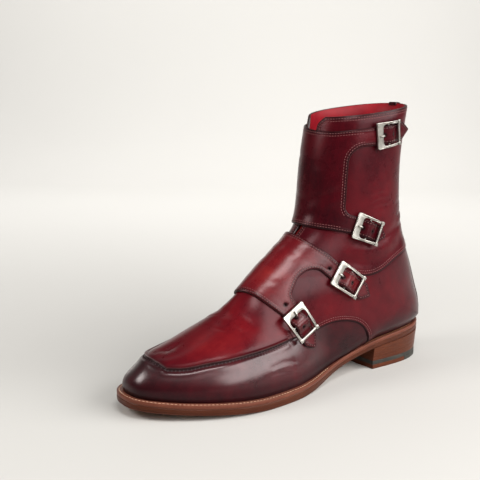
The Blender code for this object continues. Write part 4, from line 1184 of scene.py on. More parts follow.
class Cut:
    """A piece cut from leather to a pattern and laid on the boot: outline and holes in millimetres."""

    def __init__(self, name, rows, low, thick, straps=(), holes=(), step=2.3):
        self.name, self.low, self.thick = name, low, thick
        self.straps, self.holes, self.step = straps, holes, step
        self.loop = even(rounded(rows, step=0.8), 0.95)
        self.edge = on_pattern(self.loop * MM)
        self.hole_edges = [on_pattern(hole * MM) for hole in holes]
        self.creases = crease_lines(FLAP_CREASES[name], on_pattern)
        x, y = self.loop.T
        self.turn = np.sign(np.sum(x * np.roll(y, -1) - y * np.roll(x, -1)))

    def row(self, off):
        """A line in from the cut edge, in millimetres of the pattern, with its stretches of places."""
        line = shifted(on_pattern, self.loop * MM, self.turn * off, closed=True)
        far = nearest_on(self.edge, on_pattern(line), closed=True)[0]
        return line / MM, far > 0.94 * off

    def edge_distance(self, places):
        return np.minimum(nearest_on(self.edge, places, closed=True)[0], 0.02)

    def stands(self, at, places):
        """Heights of the upper and the lower face over the last, and the distance from the edge."""
        edge = self.edge_distance(places)
        hole = np.full(len(at), 1.0)
        for loop in self.hole_edges:
            hole = np.minimum(hole, nearest_on(loop, places, closed=True)[0])
        rise = sum((strap.rise(at) for strap in self.straps), np.zeros(len(at)))
        top = self.low + self.thick + rise + furrows(edge)
        top -= np.maximum(creased(self.creases, places), -0.0003)
        top -= 0.0005 * (1 - smooth(edge, 0, 0.0009))
        top -= 0.0003 * (1 - smooth(hole, 0, 0.0006))
        bottom = self.low + rise
        return top, bottom, np.minimum(edge, hole + 0.0012)

    def face(self, at):
        """Places and outward directions of the finished upper face, for places in metres."""
        places, normals = on_pattern(at), pattern_normals(at)
        top = self.stands(at, places)[0]
        return places + normals * top[:, None], normals

    def make(self, slot, materials, glow_base, glow_table, polish):
        """Its piece, laid on the boot."""
        corners = zip(self.loop.min(axis=0), self.loop.max(axis=0))
        grid = crossed(*(np.arange(low, high, self.step) for low, high in corners))
        reaches = [(strap, strap.length / 2 + 0.002) for strap in self.straps]
        for strap, reach in reaches:
            far = norm(grid * MM - strap.middle, axis=1) > reach
            rows = crossed(np.linspace(-reach, reach, 25), np.linspace(-0.5, 0.5, 7) * STRAP_EDGE)
            grid = np.concatenate([grid[far], strap.pattern(*rows.T) / MM])
        grid = grid[inside_of(self.loop, grid)]
        edge = self.edge_distance(on_pattern(grid * MM))
        keep = edge > CUT_CLEAR
        for strap, reach in reaches:
            keep |= (norm(grid * MM - strap.middle, axis=1) < reach) & (edge > STRAP_CLEAR)
        grid = grid[keep]
        lines = [self.row(off * MM) for off in CUT_OFFSETS]
        rows = np.concatenate([line[good] for line, good in lines])
        rows = rows[inside_of(self.loop, rows)]
        flat = np.concatenate([rows, grid])
        for hole in self.holes:
            flat = flat[~inside_of(hole, flat) & (nearest_on(hole, flat, closed=True, reach=1)[0] > 0.35)]
            middle = hole.mean(axis=0)
            flat = np.concatenate([middle + (hole - middle) * 1.35, flat])
        flat = thinned(flat, on_pattern(flat * MM), 0.0004)
        places, triangles = triangulated(flat, [self.loop, *self.holes])
        middle = places[triangles].mean(axis=1)
        wanted = inside_of(self.loop, middle)
        for hole in self.holes:
            wanted &= ~inside_of(hole, middle)
        triangles = triangles[wanted]
        used, triangles = used_only(triangles[:, ::-1])     # across, then along, turns inwards
        at = places[used] * MM
        base = on_pattern(at)
        normals = pattern_normals(at)
        top, bottom, edge = self.stands(at, base)
        skins = base + normals * top[:, None], base + normals * bottom[:, None]
        sheet_piece(
            self.name + "_leather", skins, triangles, 0.00012, materials, slot, (self.name,),
            glow=glow_of(base, glow_base, glow_table), rim=edge, wear=stitch_row_shade(edge), polish=polish,
        )

    def stitch_lines(self):
        """The piece's two stitch rows, in stretches; a strap has the outer row only."""
        found = []
        for number, off in enumerate(ROWS):
            line, good = self.row(off)
            at = line * MM
            for strap in self.straps:
                s, t = strap.local(at).T
                half = strap.length / 2
                on_strap = (s > -half - 0.012) & (np.abs(t) < STRAP_EDGE + 0.004) & (at[:, 0] > 0)
                under_bar = (np.abs(s - half) < 0.0016) | (np.abs(s + half) < FRONT_BAR / 2)
                good = good & ~(on_strap & under_bar)
                if number == 1:
                    good = good & ~on_strap
            found += stretches(at, good, closed=True)
        return [self.face(line) for line in found if len(line) > 4]


def stretches(line, good, closed=False):
    """The parts of a line whose points are all good."""
    if closed and good.any() and not good.all():
        start = int(np.flatnonzero(~good)[0])
        line, good = np.roll(line, -start, axis=0), np.roll(good, -start)
    elif closed:
        line, good = np.concatenate([line, line[:1]]), np.concatenate([good, good[:1]])
    ends = np.flatnonzero(np.diff(good)) + 1
    runs = zip(np.split(line, ends), np.split(good, ends))
    return [points for points, fine in runs if len(fine) and fine[0]]


def make_flaps(strap_leather, tongue_leather, paint):
    flaps = (
        ("ankle_flap", (ANKLE_TOP, ANKLE_CUT_OUT, ANKLE_BOTTOM), STRAPS[:2], (), ANKLE_GLOW, 0.4, 0.08),
        (
            "instep_flap", (INSTEP_TOP, INSTEP_CUT_OUT, INSTEP_BOTTOM), STRAPS[2:], (-7.6,), INSTEP_GLOW_SHEEN_AND_SHADE,
            0.5, 0.64,
        ),
    )
    made = []
    for name, edges, straps, spare, table, base, polish in flaps:
        rows = edges[0] + straps[0].outline() + edges[1] + straps[1].outline() + edges[2]
        holes = []
        for strap in straps:
            holes += [slot_loop(strap), circle(strap, 0.0035, SPARE_HOLE)]
            holes += [circle(strap, -strap.length / 2 + place * MM, SPARE_HOLE) for place in spare]
        cut = Cut(name, rows, OVERLAY_GAP, STRAP_LEATHER, straps, holes)
        cut.make("strap_leather", (strap_leather, paint, paint), base, table, polish)
        made.append(cut)
    # The tongue is coloured near the brightest red: partly its own red, partly painted light that lifts it
    # out of the shade in the slit.
    tongue = Cut("tongue", TONGUE, -WALL - OVERLAY_GAP - TONGUE_DROP, TONGUE_LEATHER, step=3.0)
    tongue.make("tongue_leather", (tongue_leather, tongue_leather, paint), 0.95, [], 0.2)
    return made


# -------- backstay
BACKSTAY_TOP_V = 0.0015
BACKSTAY_END_V = 0.497
BACKSTAY_LEATHER = 0.0013
BACKSTAY_ROWS = (0.0016, 0.0033)
BACKSTAY_GLOW = [(-128, 0, 200, 40, -0.14), (-150, 0, 70, 26, 0.12), (-150, 0, 38, 18, -0.22)]
TAB_HALF_WIDTH = 0.0045
TAB_IN = 0.001         # how far the tab reaches down inside the collar
TAB_LEATHER = 0.0009


def back_point(off, v, proud):
    """Point at a distance off round from the back seam, + to the outside."""
    side = np.where(off >= 0, 1.0, -1.0)
    steps = 1 - np.linspace(0, 0.6, GIRTH_STEPS)
    girth = lengths_along(last_point(v[:, None], side[:, None] * steps))
    u = np.array([np.interp(abs(o), g, steps) for o, g in zip(off, girth)]) * side
    return last_point(v, u) + last_normal(v, u) * np.asarray(proud, float)[..., None]


def backstay_half(v):
    return np.interp(v / BACKSTAY_END_V, BACKSTAY["down"], MM * BACKSTAY["half_width"])


def folds_at_ankle(z, off):
    """Soft folds across the back of the ankle."""
    folds = (132, 3.4, 0.5), (140.5, 2.6, 0.35), (150, 2.4, 0.3), (124, 3, 0.3)   # height, width, depth
    height = z - 0.25 * np.abs(off)
    return sum(deep * MM * bump(height, place * MM, wide * MM) for place, wide, deep in folds)


def backstay_skin(v, off, proud):
    edge = backstay_half(v) - np.abs(off)
    base = back_point(off, v, np.zeros(len(v)))
    height = proud - 0.0005 * (1 - smooth(edge, 0, 0.0008)) - 0.8 * folds_at_ankle(base[:, 2], off)
    drawn = tucked(base)
    for row in BACKSTAY_ROWS:
        height -= 0.00012 * bump(edge, row, 0.0004)
    return back_point(off, v, np.maximum(height, OVERLAY_GAP + 0.0003) + drawn)


def strip_triangles(outer, inner):
    """Triangles over rows and columns of points, turned to face away from the inner ones."""
    rows, columns = outer.shape[:2]
    faces = np.array(quads(rows, columns))
    triangles = np.stack([faces[:, [0, 1, 2]], faces[:, [0, 2, 3]]], axis=1).reshape(-1, 3)
    i, j = rows // 2, columns // 2
    facing = np.cross(outer[i, j + 1] - outer[i, j], outer[i + 1, j] - outer[i, j])
    return triangles if facing @ (outer[i, j] - inner[i, j]) >= 0 else triangles[:, ::-1]


def make_backstay(leather, paint):
    v = np.linspace(BACKSTAY_TOP_V, BACKSTAY_END_V, 110)
    across = np.concatenate([
        [-1, -0.975, -0.945, -0.9, -0.86, -0.8, -0.74, -0.68, -0.6], np.linspace(-0.5, 0.5, 11),
        [0.6, 0.68, 0.74, 0.8, 0.86, 0.9, 0.945, 0.975, 1],
    ])
    rows, columns = np.meshgrid(v, across, indexing="ij")
    off = (columns * backstay_half(rows)).ravel()
    outer = backstay_skin(rows.ravel(), off, OVERLAY_GAP + BACKSTAY_LEATHER)
    base = back_point(off, rows.ravel(), np.zeros(off.shape))
    inner = back_point(off, rows.ravel(), OVERLAY_GAP + tucked(base))
    for skin in (outer, inner):
        skin[:, 2] = np.maximum(skin[:, 2], feather_height(skin[:, 0]))
    triangles = strip_triangles(outer.reshape(*rows.shape, 3), inner.reshape(*rows.shape, 3))
    sheet_piece(
        "backstay_leather", (outer, inner), triangles, 0.0001, (leather, paint, paint), "burgundy_leather",
        ("backstay",), glow=glow_of(outer, 0.4, BACKSTAY_GLOW), rim=backstay_half(rows.ravel()) - np.abs(off),
        polish=0.15,
    )
    lines = []
    for side in (1, -1):
        for row in BACKSTAY_ROWS:
            at = np.linspace(0.006, 0.485, 260)
            off = side * (backstay_half(at) - row)
            proud = OVERLAY_GAP + BACKSTAY_LEATHER
            places = backstay_skin(at, off, proud)
            out = unit(back_point(off, at, np.full(len(at), 0.002)) - back_point(off, at, np.zeros(len(at))))
            lines.append((places, out))
    return lines


def make_tab(leather, paint):
    """The tab of the backstay, folded over the collar and sewn down inside."""
    across = np.linspace(-1, 1, 9) * TAB_HALF_WIDTH
    outside, inside = OVERLAY_GAP + BACKSTAY_LEATHER + 0.0001, -WALL - 0.0001
    middle, half = (outside + inside) / 2, (outside - inside) / 2
    skins = []
    for thick in (TAB_LEATHER, 0.0):
        places = [(v, outside + thick, 0.0) for v in (0.05, 0.035, 0.02, 0.008, 0.0)]
        for turn in np.linspace(0, np.pi, 9)[1:-1]:
            reach = half + thick
            places.append((0.0, middle + reach * math.cos(turn), reach * math.sin(turn) * 0.45 + 0.0002))
        places += [(0.05 * share * TAB_IN / 0.012, inside - thick, 0.0) for share in np.linspace(0, 1, 7)]
        skins.append(np.array([
            back_point(across, np.full(len(across), v), np.full(len(across), proud)) + [0, 0, lift]
            for v, proud, lift in places
        ]))
    edge = np.tile(TAB_HALF_WIDTH - np.abs(across), len(skins[0]))
    sheet_piece(
        "collar_tab", [skin.reshape(-1, 3) for skin in skins], strip_triangles(*skins), 0.0001,
        (leather, paint, paint), "burgundy_leather", (), sharp=True, glow=0.34, polish=0.1, rim=edge,
    )


# -------- sole and heel
SOLE_SHARES = 150
CLOSED_GAP = 0.85 * GAP     # the layers are pressed together, all but a hair
LIFTS = 5               # leather lifts of the heel stack
GROOVE_IN = 0.0042      # of the stitched channel under the sole, from its edge
GROOVE_DEEP = 0.0006
WELT_ROW_IN = 0.0019    # of the welt's stitches, from its edge


def section_loft(name, layers, shares, across, materials, under=0, end_caps=(False, False), channel=None):
    """A closed shape of sections across the sole. Its layers go from the underside up, each with how far its
    edge stands out and its height along the boot. across is the count of points between the edges, under
    the number of the underside's material, and channel how deep the underside is cut away from the edge."""
    edges = [both_edges(stand, shares) for stand, _ in layers]
    heights = [height for _, height in layers]
    rows = []

    def add(plan, height, cut=0):
        rows.append(np.column_stack([plan, height(plan[:, 0]) + cut]))

    mix = (1 - np.cos(np.linspace(0, np.pi, across))) / 2
    outside, inside = edges[0]
    width = norm(outside - inside, axis=1)
    for share in mix:
        plan = outside + (inside - outside) * share
        add(plan, heights[0], channel(plan[:, 0], min(share, 1 - share) * width) if channel else 0)
    for (_, edge), height in zip(edges[1:], heights[1:]):
        add(edge, height)
    outside, inside = edges[-1]
    for share in mix[1:]:
        add(inside + (outside - inside) * share, heights[-1])
    for (edge, _), height in zip(edges[-2:0:-1], heights[-2:0:-1]):
        add(edge, height)
    points = np.stack(rows, axis=1)
    count, around = points.shape[:2]
    faces = quads(count, around, closed=True)
    kinds = ([under] * (across - 1) + [0] * (around - across + 1)) * (count - 1)
    for end, capped in zip((0, count - 1), end_caps):
        if capped:
            loop = [end * around + j for j in range(around)]
            faces.append(loop if end else loop[::-1])
            kinds.append(0)
    mesh = plain_mesh(name, points.reshape(-1, 3), faces, materials, kinds)
    closed_up(mesh)
    return mesh


def closed_up(mesh):
    """Merges coincident points and turns every face outwards."""
    shape = bmesh.new()
    shape.from_mesh(mesh)
    bmesh.ops.remove_doubles(shape, verts=shape.verts, dist=2e-6)
    bmesh.ops.dissolve_degenerate(shape, edges=shape.edges, dist=1e-6)
    bmesh.ops.recalc_face_normals(shape, faces=shape.faces)
    shape.to_mesh(mesh)
    shape.free()


def channel(x, inset):
    """Depth of the stitched channel cut round the forepart's underside."""
    on_forepart = smooth(x, BREAST_X - 0.002, BREAST_X + 0.01)
    return GROOVE_DEEP * bump(inset, GROOVE_IN, 0.0007) * on_forepart


def make_outsole(edge, under):
    low, high = underside_height, (lambda x: outsole_top(x) + CLOSED_GAP)
    rounding = (    # how far each layer is set back, and how far it is above the underside
        (0.0011, 0), (0.0005, 0.0002), (0.00015, 0.0007), (0, 0.0011), (0.00025, 0.0013), (0.00025, 0.0016),
        (0, 0.0019),
    )
    layers = [(inset(by), lambda x, up=up: low(x) + up) for by, up in rounding]
    for by, share in ((-0.0001, 0.6), (0.0, 0.93)):
        layers.append((inset(by), lambda x, share=share: low(x) + (high(x) - low(x)) * share))
    layers.append((inset(0.0003), high))
    shares = sole_shares(SOLE_SHARES)
    mesh = section_loft("outsole_leather", layers, shares, 41, (edge, under), under=1, channel=channel)
    piece("outsole_leather", mesh, "sole_leather", ("outsole",), sharp_angle=35)


def make_insole(material):
    stand = -(WALL + 4 * GAP)
    layers = [(stand, lambda x: outsole_top(x) + GAP), (stand, lambda x: feather_height(x) - 0.0007)]
    mesh = section_loft("insole_sock", layers, sole_shares(90), 25, (material,))
    piece("insole_sock", mesh, "insole_leather", ("insole",))


def make_welt(material):
    """The welt, with its wheeled ledge and rounded lip."""
    low, high = (lambda x: outsole_top(x) + GAP), (lambda x: feather_height(x) - GAP + CLOSED_GAP)
    middle = lambda x: (low(x) + high(x)) / 2
    profile = (     # how far each layer is set back, and its height with what is added
        (0.0003, low, 0.0), (0.0, low, 0.0003), (-0.0001, middle, 0.0), (0.0, high, -0.0006),
        (0.0003, high, -0.0001), (0.0008, high, 0.0), (0.0013, high, -0.0002), (0.002, high, -0.0003),
        (0.0026, high, -0.0001), (0.0033, high, 0.0), (None, high, 0.0), (None, low, 0.0),
    )
    loops = []
    for by, height, more in profile:
        reach = -WALL * 0.8 if by is None else lambda x, by=by: np.maximum(stand_out(x) - by, -WALL * 0.5)
        outside, inside = both_edges(reach, sole_shares(SOLE_SHARES))
        loop = np.concatenate([outside, inside[-2:0:-1]])
        loops.append(np.column_stack([loop, height(loop[:, 0]) + more]))
    count, rings = len(loops[0]), len(loops)
    faces = np.array(quads(rings + 1, count, closed=True)) % (rings * count)
    mesh = plain_mesh("welt_leather", np.concatenate(loops), faces.tolist(), (material,))
    closed_up(mesh)
    piece("welt_leather", mesh, "sole_leather", ("welt",), sharp_angle=60)


def heel_slice(name, low, high, from_x, to_x, inset_low, inset_high, materials, soften):
    """One lift of the heel between two heights, its edges a little softened."""
    starts_whole = from_x <= HEEL_BACK_X
    whole = np.linspace(0, 0.5, 800)
    first, last = np.interp([from_x, to_x], feather_point(1, whole)[:, 0], whole)
    shares = sole_shares(60, last) if starts_whole else np.linspace(first, last, 16)
    layers = [
        (inset(inset_low + soften), low), (inset(inset_low), lambda x: low(x) + soften),
        (inset((inset_low + inset_high) / 2 - 0.00005), lambda x: (low(x) + high(x)) / 2),
        (inset(inset_high), lambda x: high(x) - soften), (inset(inset_high + soften), high),
    ]
    mesh = section_loft(name, layers, shares, 9, materials, len(materials) - 1, (not starts_whole, True))
    # The breast, and the front of a quarter, are cut straight across.
    for vertex in mesh.vertices:
        if vertex.co.x > to_x - 0.0012:
            vertex.co.x = to_x
        if not starts_whole and vertex.co.x < from_x + 0.0012:
            vertex.co.x = from_x
    return mesh


def joined(name, meshes, material):
    """One mesh of several, all of one material."""
    shape = bmesh.new()
    for mesh in meshes:
        shape.from_mesh(mesh)
        bpy.data.meshes.remove(mesh)
    for face in shape.faces:
        face.material_index = 0
    made = bpy.data.meshes.new(name)
    shape.to_mesh(made)
    shape.free()
    made.materials.append(material)
    return made


def make_heel(stack, rubber, under):
    lift_top = TOP_PIECE + GAP + LIFT
    bottom = lift_top + GAP
    height = lambda x, part: bottom + (underside_height(x) - GAP + CLOSED_GAP - bottom) * part
    slices = []
    for k in range(LIFTS):
        shares = k / LIFTS, (k + 1) / LIFTS
        low, high = (lambda x, part=share: height(x, part) for share in shares)
        insets = [HEEL_TAPER * (1 - share) for share in shares]
        slices.append(heel_slice("lift", low, high, HEEL_BACK_X, BREAST_X, *insets, (stack,), 0.00012))
    mesh = joined("heel_stack_leather", slices, stack)
    piece("heel_stack_leather", mesh, "sole_leather", ("heel_stack",), sharp_angle=30)
    closed = lift_top + CLOSED_GAP, TOP_PIECE + CLOSED_GAP
    quarter = RUBBER_QUARTER_X - GAP / 2, RUBBER_QUARTER_X + GAP / 2
    rear, front, whole = (HEEL_BACK_X, quarter[0]), (quarter[1], BREAST_X), (HEEL_BACK_X, BREAST_X)
    slabs = (       # piece, the frame's node, bottom and top, rear and front, materials, softened edge
        ("heel_lift_rubber", "heel_lift", (TOP_PIECE + GAP, closed[0]), whole, (rubber,), 0.0003),
        ("top_piece_rubber", "top_piece_rear", (0.0, closed[1]), rear, (rubber,), 0.0004),
        ("top_piece_leather", "top_piece_front", (0.0, closed[1]), front, (stack, under), 0.0003),
    )
    for name, node, heights, ends, materials, soften in slabs:
        low, high = (lambda x, height=height: np.full(x.shape, height) for height in heights)
        mesh = heel_slice(name, low, high, *ends, HEEL_TAPER, HEEL_TAPER, materials, soften)
        piece(name, mesh, "rubber" if rubber in materials else "sole_leather", (node,), sharp_angle=30)


# -------- buckles
PRONG_PATH = [          # s, height above the upper, radius, in millimetres
    (-5.8, 0.9, 0.75), (-6.1, 1.8, 0.78), (-6.6, 2.8, 0.8), (-7.3, 3.9, 0.8), (-8.2, 4.9, 0.82),
    (-9.1, 5.45, 0.85), (-10.0, 5.65, 0.85), (-11.2, 5.62, 0.8), (-12.0, 5.5, 0.62), (-12.45, 5.35, 0.3),
]
FRAME_ROUND = 0.00042       # of the frame's edges
ROD = 0.00125               # radius of the rear bar's rod


def filled_frame(strap):
    """The frame's outline and opening as a filled flat curve, made a mesh: s along x, t along y."""
    front, rear = -strap.length / 2 - FRONT_BAR / 2, strap.length / 2 + REAR_BAR / 2
    curve = bpy.data.curves.new("frame", "CURVE")
    curve.dimensions = "2D"
    curve.fill_mode = "BOTH"
    curve.extrude = FRAME_THICK / 2 - FRAME_ROUND
    curve.bevel_depth = FRAME_ROUND
    curve.bevel_resolution = 2
    curve.offset = -FRAME_ROUND
    half_front, half_rear = FRONT_WIDTH / 2, REAR_WIDTH / 2
    outer = [
        (front, -half_front, 1.3), (rear, -half_rear, 0.8), (rear, half_rear, 0.8), (front, half_front, 1.3),
    ]
    inner_front, inner_rear = front + FRONT_BAR, rear - REAR_BAR
    inner = [
        (inner_front, half_front - SIDE_ARM, 3.4), (inner_rear, half_rear - SIDE_ARM, 1.2),
        (inner_rear, SIDE_ARM - half_rear, 1.2), (inner_front, SIDE_ARM - half_front, 3.4),
    ]
    for corners in (outer, inner):
        rows = [(x / MM, y / MM, radius) for x, y, radius in corners]
        loop = even(rounded(rows, step=0.35), 1.6) * MM
        made = curve.splines.new("POLY")
        made.points.add(len(loop) - 1)
        made.use_cyclic_u = True
        for point, place in zip(made.points, loop):
            point.co = (*place, 0, 1)
    mesh = evaluated(placed("frame", curve))
    closed_up(mesh)
    return mesh


def evaluated(thing):
    """The plain mesh of an object, which is taken away."""
    bpy.context.view_layer.update()
    graph = bpy.context.evaluated_depsgraph_get()
    mesh = bpy.data.meshes.new_from_object(thing.evaluated_get(graph))
    bpy.data.objects.remove(thing)
    return mesh


def tube(path, radii, around=14):
    """A round wire through points, closed at its ends."""
    path = np.asarray(path, float)
    run = along_line(path)
    side = unit(np.cross(run, [0.31, 0.17, 0.93]))
    up = np.cross(run, side)
    turn = np.linspace(0, 2 * np.pi, around, endpoint=False)
    ring = np.cos(turn)[None, :, None] * side[:, None] + np.sin(turn)[None, :, None] * up[:, None]
    points = path[:, None] + ring * np.asarray(radii, float)[:, None, None]
    faces = quads(len(path), around, closed=True)
    faces.append(tuple(range(around)))
    faces.append(tuple(reversed(range((len(path) - 1) * around, len(path) * around))))
    mesh = plain_mesh("tube", points.reshape(-1, 3), faces, ())
    closed_up(mesh)
    return mesh


def block(size, place, soften):
    """A block with softened edges."""
    shape = bmesh.new()
    bmesh.ops.create_cube(shape, size=1)
    for vertex in shape.verts:
        vertex.co = Vector(place) + Vector(c * s for c, s in zip(vertex.co, size))
    bmesh.ops.bevel(shape, geom=list(shape.edges), offset=soften, segments=2, profile=0.6, affect="EDGES")
    mesh = bpy.data.meshes.new("block")
    shape.to_mesh(mesh)
    shape.free()
    return mesh


def make_buckle(index, strap, metal):
    middle_z = FRAME_CLEAR + FRAME_THICK / 2
    plate = filled_frame(strap)
    front_edge = -strap.length / 2 - FRONT_BAR / 2
    for vertex in plate.vertices:
        vertex.co.z += middle_z
        if vertex.co.z > middle_z:      # the wide bar is crowned along its length
            vertex.co.z += bump(vertex.co.x, front_edge + FRONT_BAR * 0.45, FRONT_BAR * 0.42) * 0.00022
    rear, half = strap.length / 2, REAR_WIDTH / 2
    parts = [plate]
    for x, z, radius, shorter, rings, around in (
        (rear, middle_z, ROD, 0.0008, 24, 20), (0, BAR_HEIGHT, WIRE, 0.0006, 14, 12),
    ):
        ys = np.linspace(-half + shorter, half - shorter, rings)
        parts.append(tube([(x, y, z) for y in ys], np.full(rings, radius), around))
    for side in (-1, 1):
        at_rear = (rear, side * (half - KNOB / 2 + KNOB_OUT), middle_z)
        parts.append(block((KNOB * 0.98, KNOB * 0.94, KNOB * 0.96), at_rear, 0.0004))
        post = (0, side * (FRONT_WIDTH / 2 - 0.0016), BAR_HEIGHT + 0.0006)
        parts.append(block((KNOB * 0.68, KNOB * 0.44, KNOB * 0.6), post, 0.0003))
    mesh = joined(f"buckle_{index}_metal", parts, metal)
    bend_and_place(mesh, strap)
    piece(mesh.name, mesh, "buckle_metal", (f"buckle_{index}",), sharp_angle=38)


def bend_and_place(mesh, strap):
    """Bends a flat piece as the boot is curved there, and stands it on the boot at the strap."""
    for vertex in mesh.vertices:
        vertex.co.z += strap.seat + strap.curve * vertex.co.x ** 2
    matrix = np.eye(4)
    matrix[:3] = np.column_stack([strap.forward, strap.sideways, strap.out, strap.origin])
    mesh.transform(Matrix(matrix.tolist()))
    mesh.update()


def make_prong(index, strap, metal):
    rows = np.array(PRONG_PATH) * MM
    knots = np.arange(len(rows))
    fine = spline(knots, rows, np.linspace(0, len(rows) - 1, 48))
    path = np.column_stack([fine[:, 0], np.zeros(len(fine)), fine[:, 1]])
    wire = tube(path, np.maximum(fine[:, 2], 0.0002), 14)
    mesh = joined(f"prong_{index}_metal", [wire], metal)
    bend_and_place(mesh, strap)
    piece(mesh.name, mesh, "buckle_metal", (f"prong_{index}",), sharp_angle=60)


# -------- stitches
STITCH = {"Spacing": 0.0023, "Length": 0.0018, "Width": 0.00062, "Height": 0.0005}
WELT_STITCH = {"Spacing": 0.0031, "Length": 0.0026, "Width": 0.00085, "Height": 0.0007}
HAND_SIZES = {"Spacing": HAND_STITCH, "Length": 0.0024, "Width": 0.0008, "Height": 0.0006}
SEED = 7                # of the stitches' small differences


def stitch_tree():
    """Lays stitches along lines. Each point of a line carries lay, the way its stitch runs, and out."""
    tree = bpy.data.node_groups.new("stitch_rows", "GeometryNodeTree")
    sockets = tree.interface
    sockets.new_socket("Geometry", in_out="INPUT", socket_type="NodeSocketGeometry")
    for name, value in STITCH.items():
        sockets.new_socket(name, in_out="INPUT", socket_type="NodeSocketFloat").default_value = value
    sockets.new_socket("Seed", in_out="INPUT", socket_type="NodeSocketInt").default_value = SEED
    sockets.new_socket("Thread", in_out="INPUT", socket_type="NodeSocketMaterial")
    sockets.new_socket("Geometry", in_out="OUTPUT", socket_type="NodeSocketGeometry")

    def add(kind, inputs=None, **settings):
        """A node. Each of its inputs is a value or the node and the output that feed it."""
        node = tree.nodes.new(kind)
        for name, value in settings.items():
            setattr(node, name, value)
        for name, value in (inputs or {}).items():
            if isinstance(value, tuple) and isinstance(value[1], str):
                tree.links.new(value[0].outputs[value[1]], node.inputs[name])
            else:
                node.inputs[name].default_value = value
        return node

    def turned(inputs, **settings):
        return add("FunctionNodeAlignRotationToVector", inputs, **settings), "Rotation"

    given = add("NodeGroupInput")
    curve = add("GeometryNodeMeshToCurve", {"Mesh": (given, "Geometry")})
    spaced = {"Curve": (curve, "Curve"), "Length": (given, "Spacing")}
    resample = add("GeometryNodeResampleCurve", spaced, mode="LENGTH")
    ball = add("GeometryNodeMeshUVSphere", {"Segments": 7, "Rings": 5, "Radius": 0.5})
    lay, out = (
        (add("GeometryNodeInputNamedAttribute", {"Name": name}, data_type="FLOAT_VECTOR"), "Attribute")
        for name in ("lay", "out")
    )
    upright = turned({"Rotation": turned({"Vector": lay}, axis="X"), "Vector": out}, axis="Z", pivot_axis="X")
    least_most = {0: (0.93, 0.88, 0.88), 1: (1.05, 1.12, 1.12), "Seed": (given, "Seed")}
    wobble = add("FunctionNodeRandomValue", least_most, data_type="FLOAT_VECTOR")
    sizes = {axis: (given, name) for axis, name in zip("XYZ", ("Length", "Width", "Height"))}
    size = add("ShaderNodeCombineXYZ", sizes)
    scale = add("ShaderNodeVectorMath", {0: (size, "Vector"), 1: (wobble, "Value")}, operation="MULTIPLY")
    place = add("GeometryNodeInstanceOnPoints", {
        "Points": (resample, "Curve"), "Instance": (ball, "Mesh"), "Rotation": upright,
        "Scale": (scale, "Vector"),
    })
    realize = add("GeometryNodeRealizeInstances", {"Geometry": (place, "Instances")})
    dress = add("GeometryNodeSetMaterial", {"Geometry": (realize, "Geometry"), "Material": (given, "Thread")})
    add("NodeGroupOutput", {"Geometry": (dress, "Geometry")})
    return tree


def stitches(name, tree, lines, sizes, thread, slot, crosswise=False):
    """One piece of stitches along lines of (places, outward directions)."""
    places, lay, out, edges = [], [], [], []
    for line, outward in lines:
        start = sum(len(part) for part in places)
        run = along_line(line)
        places.append(line)
        lay.append(unit(np.cross(outward, run)) if crosswise else run)
        out.append(outward)
        edges += [(start + i, start + i + 1) for i in range(len(line) - 1)]
    mesh = bpy.data.meshes.new(name)
    mesh.from_pydata([tuple(p) for p in np.concatenate(places).tolist()], edges, [])
    for attribute, rows in (("lay", lay), ("out", out)):
        made = mesh.attributes.new(attribute, "FLOAT_VECTOR", "POINT")
        made.data.foreach_set("vector", np.concatenate(rows).astype(np.float32).ravel())
    thing = placed(name + "_lines", mesh)
    modifier = thing.modifiers.new("stitches", "NODES")
    modifier.node_group = tree
    values = {**sizes, "Seed": SEED, "Thread": thread}
    for item in tree.interface.items_tree:
        if item.item_type == "SOCKET" and item.in_out == "INPUT" and item.name in values:
            modifier[item.identifier] = values[item.name]
    made = evaluated(thing)
    for attribute in ("lay", "out"):
        if attribute in made.attributes:
            made.attributes.remove(made.attributes[attribute])
    made.name = name
    return piece(name, made, slot, edge_by_angle=False)


def upper_stitches(upper):
    """The upper's rows of machine stitching: along its laps, its collar and its slit."""
    lines = []
    for seam in upper.seams:
        for row in seam.rows:
            at = seam.row(row)
            lines += stretches(at, upper.clear(at, 0.005) & (np.abs(at[:, 1]) < 0.985))
    for row in ROWS:
        at = shifted(on_last, upper.collar, -row)
        if at[len(at) // 2, 0] < 0:
            at = shifted(on_last, upper.collar, row)
        lines += stretches(at, upper.clear(at, row * 0.93))
        for way in (1, -1):
            at = shifted(on_last, upper.slit, way * row, closed=True)
            lines += stretches(at, upper.clear(at, row * 0.93) & (at[:, 0] > 0.012), closed=True)
    return [upper.face(line) for line in lines if len(line) > 4]


def hand_stitches(upper):
    """Places of the apron's stitches, down from its ridge to the wall."""
    places, out = upper.face(upper.seams[0].row(-0.0012))
    return [(places + out * 0.0001, out)]


def edge_stitches(count, reach, shown, height, out):
    """A line of stitches round the sole, from the outside of the heel round the toe to the inside."""
    sides = []
    for side in (1, -1):
        line = edge_line(side, np.linspace(0.0, 1.0, count), reach)
        line = line[shown(line[:, 0])]
        sides.append(np.column_stack([line, height(line[:, 0])]))
    whole = np.concatenate([sides[0], sides[1][::-1]])
    return [(whole, np.tile([0.0, 0.0, out], (len(whole), 1)))]


def welt_lines():
    shown = lambda x: stand_out(x) > 0.0026
    return edge_stitches(700, inset(WELT_ROW_IN), shown, lambda x: feather_height(x) - GAP - 0.0001, 1.0)


def sole_lines():
    """The stitches that show in the channel under the sole."""
    shown = lambda x: x > BREAST_X + 0.012
    return edge_stitches(500, inset(GROOVE_IN), shown, lambda x: underside_height(x) + 0.00045, -1.0)


